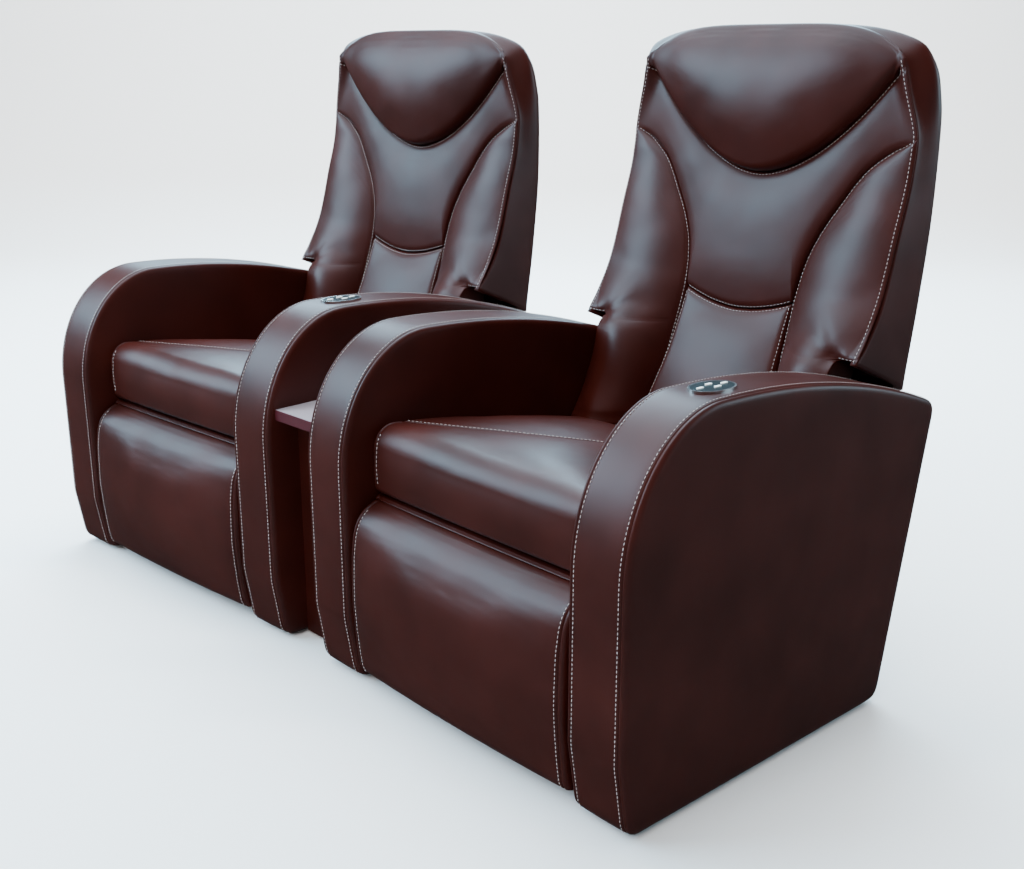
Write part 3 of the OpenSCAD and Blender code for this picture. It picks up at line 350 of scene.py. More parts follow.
def finishes():
    """The finishes by their names, made once."""
    if not MATERIALS:
        MATERIALS.update(
            # Embossed and coated: soft wide highlights on dark red-brown, nearly black in shade
            leather=leatherette("Embossed leatherette, chocolate", "#2b0a05", "#360e07", 0.42),
            # Woven, with threads about 1 mm apart: flat, and seen only inside the console
            lining=speckled("Woven lining cloth, black", "#0d0c0c", "#191616", 0.85, 900, 0.5),
            # Twisted, with strands of 0.3 mm: pale and matt, so that each stitch shows on the cover
            thread=speckled("Twisted polyester thread, pale grey", "#9a8f8d", "#b9aeab", 0.6, 3000, 0.6),
            # Sprayed and baked: a dull sheen over an orange peel of about 0.8 mm
            paint=speckled("Powder-coated steel, black", "#0e0f10", "#191a1c", 0.45, 1200, 0.4),
            # Plated and passivated: bright metal, clouded over about 6 mm
            zinc=speckled("Zinc-plated steel", "#8d9092", "#b4b7b9", 0.32, 160, 0.15, 1.0),
            # Moulded smooth: milky off-white, with flow marks of about 2 mm
            nylon=speckled("Moulded nylon, natural", "#c9c7bf", "#dedcd4", 0.5, 500, 0.1),
            # Moulded in a spark-eroded tool: near black, with pits drawn 0.7 mm wide so that they show
            plastic=speckled("Moulded ABS, black", "#0c0c0d", "#161617", 0.5, 1500, 0.25),
            # Plated over a satin moulding: even silver that blurs what it mirrors
            rim=speckled("Satin chrome on ABS", "#c7cccd", "#e2e6e6", 0.22, 60, 0.03, 1.0),
            # Polished sheet: deep and glossy, with waves of about 25 mm too low to feel
            face=speckled("Gloss acrylic face, dark teal", "#0b1a1d", "#12272b", 0.12, 40, 0.02),
            # Moulded: white, with little gloss and a grain of about 1.2 mm
            rubber=speckled("Silicone rubber, white", "#dcdcd8", "#f0f0ec", 0.45, 800, 0.1),
            # Pressed: plain warm grey with a low sheen, mottled over about 2.5 mm
            laminate=speckled("Worktop laminate, warm grey", "#7c7378", "#897f84", 0.42, 400, 0.08),
            # Extruded: a thin maroon band along the laminate's front
            edging=speckled("Laminate edging, maroon", "#3a0f16", "#48141c", 0.45, 300, 0.08),
            # Sanded and bare: pale, with grain about 6 mm wide drawn out to 55 mm
            plywood=grained("Birch plywood", "#a97f4f", "#c9a473", 0.6, 18),
            # Woven over rubber: dull black, with threads about 0.4 mm wide along the strap
            webbing=grained("Elastic webbing, black", "#121110", "#242120", 0.8, 300),
        )
    return MATERIALS


# Upholstered forms, in a seat's own millimetres


def arm_outline(count=300):
    """Evenly spaced places round the side of an arm, with their outward directions."""
    # An elliptical front, a falling top, and the corners of the rear and the foot
    rise = [(ARM_CREST_Y + ARM_CREST_Y * math.cos(t),
             ARM_SHOULDER_Z + (ARM_TOP_Z - ARM_SHOULDER_Z) * math.sin(t))
            for t in np.linspace(math.pi, math.pi / 2, 40)]
    fall = [(y, arm_top(y)) for y in np.linspace(205, 730, 40)]
    raw = rise + fall + [(766, arm_top(766)), (661, 6), (20, 6), (0, 130)]
    points = []
    for i, p in enumerate(raw):
        before = Vector(raw[i - 1]) - Vector(p)
        after = Vector(raw[(i + 1) % len(raw)]) - Vector(p)
        turn = math.pi - before.angle(after)
        if turn < 0.1 or i < 2:
            points.append(Vector(p))
            continue
        radius = SHARP_R if turn > 0.4 else BLUNT_R
        cut = min(radius * math.tan(turn / 2), 0.7 * before.length, 0.7 * after.length)
        a = Vector(p) + before.normalized() * cut
        b = Vector(p) + after.normalized() * cut
        points += [a.lerp(Vector(p), t).lerp(Vector(p).lerp(b, t), t) for t in np.linspace(0, 1, 12)]
    line = np.array([tuple(p) for p in points] + [tuple(points[0])])
    length = np.concatenate([[0], np.cumsum(np.hypot(*np.diff(line, axis=0).T))])
    at = np.linspace(0, length[-1], count, endpoint=False)
    line = np.stack([np.interp(at, length, line[:, 0]), np.interp(at, length, line[:, 1])], 1)
    along = np.roll(line, -1, 0) - np.roll(line, 1, 0)
    out = np.stack([-along[:, 1], along[:, 0]], 1) / np.hypot(*along.T)[:, None]
    return line, out


def arm_top(y):
    """The height of the arm's top behind its crest, on a wide arc that falls to the rear."""
    return ARM_TOP_Z - (ARM_TOP_R - math.sqrt(ARM_TOP_R**2 - (y - ARM_CREST_Y) ** 2))


# Cross-section of an arm's band and turned side panel: drop from the outline, and place across
ARM_SECTION = [(0, 0), (0.0, 18), (0.1, 32), (0.4, 42), (0.9, 45.5), (1.6, 47), (3.6, 48), (1.8, 49.2),
               (1.3, 50.6), (2.1, 52.8), (4.4, 55), (7.8, 56.4), (12, 57)]
ARM_SEAM_X = 48


def arm_form(x_place):
    """An arm at its place across: its band, the turned seams and a slightly crowned side panel."""
    line, out = arm_outline()
    # The middle of the side panel, which stands 2.2 mm proud of its edge
    middle = np.array([350.0, 300.0])
    loops = []
    for drop, across in ARM_SECTION:
        ring = line - out * drop
        loops.append(np.column_stack([np.full(len(ring), across), ring]))
    last = line - out * ARM_SECTION[-1][0]
    for share in (0.97, 0.92, 0.84, 0.72, 0.56, 0.38, 0.2):
        ring = middle + (last - middle) * share
        loops.append(np.column_stack([np.full(len(ring), ARM_HALF + 2.2 * math.sqrt(1 - share)), ring]))
    right = np.array(loops)
    left = right[:0:-1] * (-1, 1, 1)
    points, faces = rings(np.concatenate([left, right]))
    return points + (x_place, 0, 0), faces


def cushion_seam_y(x):
    """Where the cushion's seam lies: a V from its front corners to a point in the middle."""
    return CUSHION_FRONT + 50 + 283 * (1 - np.minimum(np.abs(x) / CUSHION_HALF, 1)) ** 1.35


def cushion_form():
    """The seat cushion: a bull nose, a crown, a seam in a V and a seam down each front corner."""
    half = list(np.linspace(0, 0.93, 26)) + [0.95, 0.965, 0.975, 0.982, 0.988, 0.994, 1]
    half += [1 + math.sin(a) for a in np.linspace(0, math.pi / 2, 9)[1:]]
    loops, held = [], []
    for place_across in [-p for p in half[:0:-1]] + half:
        out = abs(place_across)
        sign = 1 if place_across >= 0 else -1
        # How far the rounded sides have drawn in, and how high the crown stands
        inset = CUSHION_SIDE_R * (1 - math.cos(math.asin(min(max(out - 1, 0), 1))))
        crown = 1 - min(out / 2, 1) ** 2
        front = CUSHION_FRONT - 10 * crown + inset
        rear = CUSHION_FRONT + CUSHION_LONG - inset
        seam = max(cushion_seam_y(min(out, 1) * (CUSHION_HALF - CUSHION_SIDE_R)), front + 46)
        near = min(5, (seam - front - CUSHION_NOSE_R) / 2)
        groove = 2.4 * math.exp(-((out - CUSHION_CORNER) / 0.007) ** 2)

        def depth_share(y):
            return min(max((y - CUSHION_FRONT) / CUSHION_LONG, 0), 1)

        def across(y):
            """The place across, on sides that draw in a little behind the middle."""
            edge = CUSHION_HALF - 3 * math.sin(math.pi * depth_share(y))
            if out > 1:
                return sign * (edge - CUSHION_SIDE_R * (2 - out))
            return place_across * (edge - CUSHION_SIDE_R)

        top = [(front + CUSHION_NOSE_R * (1 - math.cos(a)), CUSHION_NOSE_R * (1 - math.sin(a)))
               for a in np.linspace(0, math.pi / 2, 16)]
        top += [(y, 0) for y in np.linspace(front + CUSHION_NOSE_R, seam - near, 12)[1:]]
        top += [(seam + near * t, 0) for t in (-0.6, -0.3, 0, 0.3, 0.6)]
        top += [(y, 0) for y in np.linspace(seam + near, rear - CUSHION_HEEL_R, 34)]
        top += [(rear - CUSHION_HEEL_R + CUSHION_HEEL_R * math.sin(a), CUSHION_HEEL_R * (1 - math.cos(a)))
                for a in np.linspace(0, math.pi / 2, 8)[1:]]
        upper = []
        for y, down in top:
            # The top falls 84 mm towards the rear, and dips at the V seam and beside the corner seams
            past = max(depth_share(y) - 0.05, 0) / 0.95
            dip = 3.6 * math.exp(-((y - seam) / 2.0) ** 2)
            corner = groove if y < seam else 0
            z = CUSHION_TOP + 8 * crown - inset - 84 * past**1.3 - down - dip
            z -= corner * (1 - down / CUSHION_NOSE_R)
            upper.append((across(y), y + corner * down / CUSHION_NOSE_R, z))
        under = [(front + CUSHION_CHIN_R * (1 - math.cos(a)), CUSHION_CHIN_R * (1 - math.sin(a)))
                 for a in np.linspace(0, math.pi / 2, 8)]
        under += [(y, 0) for y in np.linspace(front + 18, front + 60, 7)]
        under += [(y, 0) for y in np.linspace(front + 80, rear - 10, 10)] + [(rear - 3, 3), (rear, 10)]
        lower = []
        for y, rise in under:
            # The underside slopes up in front, over the footrest's folded top
            lift = 22 * (1 - eased((y - CUSHION_FRONT + 10) / 75))
            lower.append((across(y), y, CUSHION_BOTTOM + inset + rise + lift))
        face = []
        for t in (0.15, 0.3, 0.45, 0.6, 0.75, 0.9):
            face.append((lower[0][0], front - 2.5 * crown * math.sin(math.pi * t) + groove,
                         lower[0][2] + (upper[0][2] - lower[0][2]) * t))
        loops.append(lower[::-1] + face + upper)
        held += [True] * len(lower) + [False] * len(face) + [abs(y - seam) < 5 for y, _ in top]
    points, faces = rings(np.array(loops))
    return points, faces, np.array(held + [True, True])


def footrest_form():
    """The footrest pad: full at its middle, with a folded seam along its top and a seam down each side."""
    half = list(np.linspace(0, 0.93, 24)) + [0.945, 0.953, 0.958, 0.962, 0.966, 0.971, 0.977]
    half += list(0.977 + 0.023 * np.sin(np.linspace(0, math.pi / 2, 8)[1:]))
    places = np.array([-p for p in half[:0:-1]] + half)
    up = np.concatenate([spread(60, 0.6) * 0.955, np.linspace(0.96, 1, 22)])
    z = PAD_LOW_Z + (PAD_HIGH_Z - PAD_LOW_Z) * up
    loops, held = [], []
    for p in places:
        out = abs(p)
        inset = 9 * (1 - math.cos(math.asin(min(max((out - 0.977) / 0.023, 0), 1))))
        groove = 3.4 * math.exp(-((out - PAD_CORNER) / 0.0045) ** 2)
        # The top is folded over: a crease with a ridge above it
        fold = 5 * np.exp(-((z - 348.5) / 1.3) ** 2) - 2.4 * np.exp(-((z - 351.6) / 1.6) ** 2)
        full = PAD_DEPTH * (1 + 0.12 * (1 - p * p)) * pad_at(up) - inset - groove - fold
        face = np.column_stack([np.full(len(z), PAD_HALF * p), PAD_BACK_Y - np.maximum(full, 8), z])
        back = np.column_stack([np.full(len(z), PAD_HALF * p), np.full(len(z), PAD_BACK_Y), z])
        loops.append(np.concatenate([back, face[::-1]]))
        held += [True] * len(z) + list((out > 0.95) | (z[::-1] > 344) | (z[::-1] < 38))
    points, faces = rings(np.array(loops))
    return points, faces, np.array(held + [True, True])


def on_spine(xs, zs, thick, reach):
    """The two sheets of a pad of the back, thinned to a lip where the boxing is sewn to it."""
    ys = spine_y(zs) - OFF_BOARD
    lip = (np.abs(xs) > half_w(zs) - WALL - 0.6) & (zs > WING_STEP_Z)
    face = np.stack([xs, ys - thick, zs], -1)
    rear = np.stack([xs, np.where(lip, edge_y(zs) - 0.2, ys), zs], -1)
    return sheet_pair(face, rear, reach < 9)


def bow(share):
    """The smile shape of the cross seams: 0 in the middle and 1 at the ends."""
    return np.abs(share) ** 1.85


def head_seam_z(x):
    """The height of the seam under the headrest, which runs out level to the boxing."""
    out = np.maximum(np.abs(x) - HEAD_HALF, 0)
    return HEAD_LOW_Z + HEAD_RISE * bow(np.minimum(np.abs(x) / HEAD_HALF, 1)) + 0.25 * out


def forward(zs):
    """How far the cover's edge stands in front of the board."""
    return spine_y(zs) - OFF_BOARD - edge_y(zs)


def eased(value):
    """A step from 0 to 1 that starts and ends softly."""
    t = np.clip(value, 0, 1)
    return t * t * (3 - 2 * t)


def headrest_form():
    """The headrest: a full crescent whose ends run out level to the boxing."""
    across, up = np.meshgrid(2 * spread(84, 0.7) - 1, spread(60, 0.75))
    xs = across * (HEAD_END - SEAM_OPEN)
    low = head_seam_z(xs) + SEAM_OPEN
    high = crown_z(xs)
    zs = low + (high - low) * up
    over, under = (1 - up) * (high - low), up * (high - low)
    side = (1 - np.abs(across)) * HEAD_END
    reach = np.minimum(np.minimum(side, under), over * 0.8)
    raised = up**0.72
    # Turned edges, then the crescent's fullness, then ends that meet the cover's edge
    thick = 6 + 15 * roll(np.minimum(side, under), 17) + 5 * roll(over, 14)
    thick = thick + 32 * (1 - np.abs(across) ** 3) * (1 - np.abs(2 * raised - 1) ** 2.4)
    ends = eased((np.abs(across) - 0.78) / 0.2)
    thick = np.maximum(thick, (forward(zs) + 2.5 - 3 * (1 - roll(reach, 6))) * ends)
    return on_spine(xs, zs, thick, reach)


def by_length(line):
    """A function that walks a line of places from 0 to 1 by its length, and each place's share of it."""
    line = np.array(line, float)
    length = np.concatenate([[0], np.cumsum(np.hypot(*np.diff(line, axis=0).T))])

    def at(share):
        return np.stack([np.interp(share * length[-1], length, line[:, i]) for i in (0, 1)], -1)
    return at, length / length[-1]


def centre_form():
    """The middle panel, which runs up between the headrest and the boxing on each side."""
    u = np.linspace(0, 1, 40)
    heights = np.linspace(LUMBAR_SEAM_Z + LUMBAR_SEAM_RISE, WING_TOP_Z, 60)
    low_line = [(LUMBAR_HALF * s, LUMBAR_SEAM_Z + SEAM_OPEN + LUMBAR_SEAM_RISE * bow(s)) for s in u]
    low_line += [(seam_x(z) - SEAM_OPEN, z) for z in heights[1:]]
    high_line = [(HEAD_END * s, head_seam_z(HEAD_END * s) - SEAM_OPEN) for s in u]
    low_at, low_share = by_length(low_line)
    high_at, _ = by_length(high_line)
    corner = low_share[len(u) - 1]
    s = np.concatenate([np.linspace(0, corner, 18), corner + (1 - corner) * spread(48, 0.6)[1:]])
    s = np.concatenate([-s[:0:-1], s])
    across, t = np.meshgrid(s, spread(54, 0.8))
    low, high = low_at(np.abs(across)), high_at(np.abs(across))
    place_at = low + (high - low) * t[..., None]
    xs, zs = place_at[..., 0], place_at[..., 1]
    xs = xs + (half_w(zs) - 1 - xs) * eased((np.abs(across) - 0.86) / 0.14) ** 2
    span = np.hypot(*(high - low).transpose(2, 0, 1))
    reach = np.minimum(t, 1 - t) * span * 0.85
    outer = half_w(zs) - 1 - xs
    thick = 6 + 9 * roll(reach, 13) + 10 * (1 - np.abs(across) ** 3) * (1 - np.abs(2 * t - 1) ** 3)
    edge = forward(zs) + 2.5 - 1.8 * (1 - roll(outer, 4))
    thick = thick + (np.maximum(edge, thick) - thick) * eased(1 - outer / 34) * roll(reach + 3, 12)
    thick = np.where(outer < 13, np.maximum(thick, forward(zs) + 0.7), thick)
    xs = xs * np.sign(np.where(across == 0, 1, across))
    return on_spine(xs, zs, thick, np.minimum(reach, outer * 2))


def lumbar_form():
    """The lower middle panel, between the bolsters, fullest at its foot."""
    across, up = np.meshgrid(2 * spread(56, 0.7) - 1, spread(44, 0.75))
    top = LUMBAR_SEAM_Z - SEAM_OPEN + LUMBAR_SEAM_RISE * bow(across)
    zs = LUMBAR_LOW_Z + (top - LUMBAR_LOW_Z) * up
    half = seam_x(zs) - SEAM_OPEN
    reach = np.minimum((1 - np.abs(across)) * half, (1 - up) * (top - LUMBAR_LOW_Z))
    thick = 6 + 9 * roll(reach, 13) + 28 * (1 - up)
    thick = thick + 9 * (1 - np.abs(across) ** 3) * (1 - np.abs(2 * up - 1) ** 3)
    return on_spine(across * half, zs, thick, reach)


def wing_form():
    """The right side bolster, which steps out over the arm and is pinched where it does."""
    zs = np.concatenate([np.linspace(WING_LOW_Z, 592, 36), np.linspace(595, 614, 20),
                         np.linspace(618, WING_TOP_Z, 74)])
    across, zs = np.meshgrid(spread(52, 0.75), zs)
    near = seam_x(zs) + SEAM_OPEN
    step = np.clip((zs - WING_STEP_Z + 3) / 6, 0, 1)
    far = ARM_SIDE_X + (half_w(zs) - 1 - ARM_SIDE_X) * eased(step)
    # The bolster is drawn in at its foot and thins towards its pointed top
    full = np.interp(zs / BACK_H, [0.364, 0.376, 0.75, 0.8, 0.82, 0.838], [0.6, 1, 0.95, 0.8, 0.55, 0.3])
    width = far - near
    xs = near + width * across
    rim = 15 * full
    inner, outer = across * width, (1 - across) * width
    # How far across the padding, which widens smoothly while the cover steps out
    wide = ARM_SIDE_X + (half_w(zs) - 1 - ARM_SIDE_X) * eased((zs - 520) / 170)
    padded = np.clip((xs - near) / (wide - near), 0, 1)
    thick = 6 * full + 9 * full * roll(inner, 14)
    rise = np.sin(math.pi / 2 * np.minimum(padded * 1.5, 1)) ** 1.1
    thick = thick + np.maximum(forward(zs) - rim, 0) * rise
    thick = thick + 12 * full * np.sin(math.pi * padded) ** 0.8
    over = eased((zs - 540) / 80)
    thick = thick + (2.5 * over - 5 * (1 - over)) * eased(padded * 2 - 1) - 1.6 * (1 - roll(outer, 5))
    # The hem over the arm rolls back, and the pinch draws the cover in at the arm's inner edge
    hem = 13 * (1 - roll(np.maximum(zs - WING_STEP_Z, 0), 14))
    hem = hem * eased((xs - 262) / 16) * (zs > WING_STEP_Z - 4)
    pinch = 11 * np.exp(-((zs - 604) / 15) ** 2 - ((xs - 266) / 17) ** 2)
    pleat = 1.8 * np.exp(-((zs - 606 - (262 - xs) * 0.5) / 9) ** 2 - ((xs - 232) / 26) ** 2)
    tuck = 1.3 * np.exp(-((zs - 636 - (250 - xs) * 1.0) / 12) ** 2 - ((xs - 246) / 20) ** 2)
    thick = np.maximum(thick - hem - pinch - pleat - tuck, 8)
    lip = (outer < 13) & (zs > WING_STEP_Z + 1)
    thick = np.where(lip, np.maximum(thick, forward(zs) + 0.7 - hem), thick)
    reach = np.minimum(np.minimum(inner, outer * 1.5), np.abs(zs - WING_STEP_Z) + 5)
    return on_spine(xs, zs, thick, reach)


def rounded(line, count):
    """Evenly spaced places along a line with its corners softened, and their inward directions."""
    line = by_length(line)[0](np.linspace(0, 1, 400))
    for _ in range(60):
        line[1:-1] = 0.25 * line[:-2] + 0.5 * line[1:-1] + 0.25 * line[2:]
    line = by_length(line)[0](np.linspace(0, 1, count))
    along = np.gradient(line, axis=0)
    inward = np.stack([-along[:, 1], along[:, 0]], -1)
    return line, inward / np.linalg.norm(along, axis=1)[:, None]


def quarter(radius, count=10):
    """How far in and how far back a rounded corner has come, step by step."""
    angles = np.linspace(0, math.pi / 2, count)
    return [(radius * (1 - math.cos(a)), radius * (1 - math.sin(a))) for a in angles]


def shell_form():
    """The outer cover: boxing and rear round the board, and the narrow part between the arms."""
    upper = cover_rows()
    points, faces = rings(np.array(upper, float), closed_caps=False)
    foot_points, foot_faces = rings(np.array(cover_foot_rows(), float))
    faces += [tuple(v + len(points) for v in face) for face in foot_faces]
    return np.concatenate([points, foot_points]), faces


def cover_rows(count=96):
    """Rows round the upper cover, from its foot up and over to the middle of its top."""
    foot_front, foot_rear = edge_y(COVER_FOOT_Z), back_y(COVER_FOOT_Z)
    # The outlines of half the cover in front and at its rear
    front_line = [(half_w(z), z) for z in np.linspace(COVER_FOOT_Z, 1086, 60)]
    front_line += [(x, crown_z(x) - 1.5) for x in np.linspace(280, 0, 40)]
    rear_line = [(rear_half_w(z), z) for z in np.linspace(COVER_FOOT_Z, 1075, 60)]
    rear_line += [(x, rear_crown_z(x) - 1) for x in np.linspace(297, 0, 40)]
    fronts, front_in = rounded(front_line, count)
    rears, rear_in = rounded(rear_line, count)
    loops = []
    for i in range(count):
        front = edge_y(fronts[i, 1])
        back = back_y(rears[i, 1])
        inner = min(spine_y(fronts[i, 1]) + 13.3, back - 2.5)
        turn = 26 - 8 * i / count

        def at(inset, share, y):
            """A place at an inset from the outline, a share of the way from the front one to the rear one."""
            spot = (fronts[i] + front_in[i] * inset) * (1 - share) + (rears[i] + rear_in[i] * inset) * share
            return max(spot[0], 0), y, spot[1]

        # The turned front edge, the flank, the rounded rear corner, its seam groove and the rear panel
        outside = [at(1.4, 0, front + 0.1), at(0.3, 0, front + 1.6), at(0, 0, front + 4)]
        for t in (0.12, 0.3, 0.5, 0.7, 0.88):
            outside.append(at(0, eased(t) ** 0.8, front + 4 + (back - turn - front - 4) * t))
        outside += [at(come_in, 1, back - left) for come_in, left in quarter(turn)]
        outside += [at(turn + d, 1, back - sunk) for d, sunk in ((0.6, 1.4), (1.4, 2), (2.2, 1.4), (3, 0))]
        edge = outside[-1]
        bulge = 10 * min(edge[0] / 200, 1)
        outside += [(edge[0] * t, back + bulge * (1 - t * t), edge[2]) for t in (0.85, 0.65, 0.45, 0.25)]
        # The wall inside the cover, down to the board
        inside = [at(WALL, 0, front), at(WALL, 0, (front + inner) / 2)]
        inside += [at(WALL + come_in, 0, inner - left) for come_in, left in quarter(5, 4)]
        inside += [(inside[-1][0] * t, inner, inside[-1][2]) for t in (0.7, 0.4)]
        path = outside + [(0, back + bulge, edge[2])] + [(-x, y, z) for x, y, z in outside[::-1]]
        path += [(-x, y, z) for x, y, z in inside] + [(0, inner, inside[-1][2])] + inside[::-1]
        # The lower rim falls towards the rear, less and less further up
        share = (fronts[i, 1] - COVER_FOOT_Z) / 490
        fade = 74 * max(1 - share / 0.68, 0) / (foot_rear - foot_front)
        loops.append([(x, y, z - (y - foot_front) * fade) for x, y, z in path])
        if i == 0:
            # The foot is drawn together between its outside and its inside
            mid_x, mid_y, outer = fronts[0, 0] - 6, (back + inner) / 2, 2 * len(outside) + 1
            foot = [(math.copysign(min(abs(x), mid_x), x), min(y, mid_y), z) for x, y, z in loops[0][:outer]]
            for x, y, z in loops[0][outer:]:
                wall_x = mid_x if abs(x) > mid_x - 7 else abs(x)
                foot.append((math.copysign(wall_x, x), mid_y if y > inner - 1 else y, z))
            loops.insert(0, foot)
    return loops


def cover_foot_rows():
    """Rows round the narrow part of the cover between the arms, drawn in at its foot."""
    loops = []
    for z, draw in [(386, 8), (388, 3), (394, 0)] + [(z, 0) for z in np.linspace(410, 600.5, 20)]:
        front = spine_y(z) + 12.5 + draw
        back = back_y(z) - 2 - draw
        half = 223 - draw
        right = [(half, front)] + [(half, front + (back - 16 - front) * t) for t in (0.3, 0.7)]
        right += [(half - come_in, back - left) for come_in, left in quarter(16, 5)]
        right += [(half * t, back + 2 * (1 - t)) for t in (0.6, 0.3)]
        path = right + [(-x, y) for x, y in right[::-1]]
        loops.append([(x, y, z) for x, y in path])
    return loops


class RECLINER_PG_sizes(PropertyGroup):
    stitch_gap: FloatProperty(
        name="Stitch spacing", description="Distance from one stitch to the next",
        default=0.0072, min=0.003, max=0.02, unit="LENGTH")
    stitch_length: FloatProperty(
        name="Stitch length", description="Length of one stitch",
        default=0.0052, min=0.002, max=0.015, unit="LENGTH")
    thread_width: FloatProperty(
        name="Thread width", description="Thickness of the sewing thread",
        default=0.0013, min=0.0005, max=0.004, unit="LENGTH")
    floor_size: FloatProperty(
        name="Floor size", description="Length of the studio floor",
        default=24, min=4, max=60, unit="LENGTH")
    floor_colour: FloatVectorProperty(
        name="Floor colour", description="Colour of the studio floor",
        default=linear("#f4f4f4")[:3], subtype="COLOR", min=0, max=1)


def stitch_tree():
    """Geometry Nodes that lay a stitch at even steps along each row and face it outwards."""
    tree = bpy.data.node_groups.new("Stitch rows", "GeometryNodeTree")
    tree.interface.new_socket("Geometry", in_out="INPUT", socket_type="NodeSocketGeometry")
    for name in ("Spacing", "Stitch length", "Thread width"):
        tree.interface.new_socket(name, in_out="INPUT", socket_type="NodeSocketFloat")
    tree.interface.new_socket("Thread", in_out="INPUT", socket_type="NodeSocketMaterial")
    tree.interface.new_socket("Geometry", in_out="OUTPUT", socket_type="NodeSocketGeometry")
    given = node(tree, "NodeGroupInput").outputs
    curve = node(tree, "GeometryNodeMeshToCurve", {"Mesh": given["Geometry"]})
    even = node(tree, "GeometryNodeResampleCurve", {"Curve": curve.outputs[0], "Length": given["Spacing"]},
                mode="LENGTH")
    facing = node(tree, "GeometryNodeInputNamedAttribute", data_type="FLOAT_VECTOR", in_Name="facing")
    along = node(tree, "GeometryNodeInputTangent")
    turned = node(tree, "FunctionNodeAlignRotationToVector", {"Vector": along.outputs[0]}, axis="X")
    faced = node(tree, "FunctionNodeAlignRotationToVector",
                 {"Rotation": turned.outputs[0], "Vector": facing.outputs[0]}, axis="Z", pivot_axis="X")
    bead = node(tree, "GeometryNodeMeshUVSphere", in_Segments=6, in_Rings=4, in_Radius=0.5)
    width = given["Thread width"]
    size = node(tree, "ShaderNodeCombineXYZ", {"X": given["Stitch length"], "Y": width, "Z": width})
    placed = node(tree, "GeometryNodeInstanceOnPoints",
                  {"Points": even.outputs[0], "Instance": bead.outputs[0],
                   "Rotation": faced.outputs[0], "Scale": size.outputs[0]})
    real = node(tree, "GeometryNodeRealizeInstances", {"Geometry": placed.outputs[0]})
    smooth_faces = node(tree, "GeometryNodeSetShadeSmooth", {"Geometry": real.outputs[0]})
    coated = node(tree, "GeometryNodeSetMaterial",
                  {"Geometry": smooth_faces.outputs[0], "Material": given["Thread"]})
    node(tree, "NodeGroupOutput", {"Geometry": coated.outputs[0]})
    return tree


def sew(name, rows, side, body):
    """Makes the stitches of rows of (places, outward directions) in a seat's own millimetres."""
    sizes = bpy.context.scene.recliner_sizes
    mesh = bpy.data.meshes.new(name)
    points, facing, edges = [], [], []
    for places, directions in rows:
        edges += [(len(points) + i, len(points) + i + 1) for i in range(len(places) - 1)]
        points += [tuple(p) for p in places]
        facing += [tuple(d) for d in directions]
    mesh.from_pydata(points, edges, [])
    turn = place(side)
    mesh.transform(turn)
    attribute = mesh.attributes.new("facing", "FLOAT_VECTOR", "POINT")
    spun = turn.to_3x3().normalized()
    attribute.data.foreach_set("vector", np.array([spun @ Vector(d) for d in facing], np.float32).ravel())
    rows_object = bpy.data.objects.new(name + "_rows", mesh)
    bpy.context.scene.collection.objects.link(rows_object)
    tree = bpy.data.node_groups.get("Stitch rows") or stitch_tree()
    modifier = rows_object.modifiers.new("Stitches", "NODES")
    modifier.node_group = tree
    values = {"Spacing": sizes.stitch_gap, "Stitch length": sizes.stitch_length,
              "Thread width": sizes.thread_width, "Thread": finishes()["thread"]}
    for item in tree.interface.items_tree:
        if item.in_out == "INPUT" and item.name in values:
            modifier[item.identifier] = values[item.name]
    bpy.context.view_layer.update()
    made = bpy.data.meshes.new_from_object(rows_object.evaluated_get(bpy.context.evaluated_depsgraph_get()))
    made.name = name
    bpy.data.objects.remove(rows_object)
    piece = bpy.data.objects.new(name, made)
    bpy.context.scene.collection.objects.link(piece)
    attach(piece, body)
    return piece


# The cloth's mesh in metres, its steps, the rounds that even it out, and the places that move each point
VOXEL, CLOTH_STEPS, EVEN_ROUNDS, NEAREST = 0.0055, 20, 45, 8


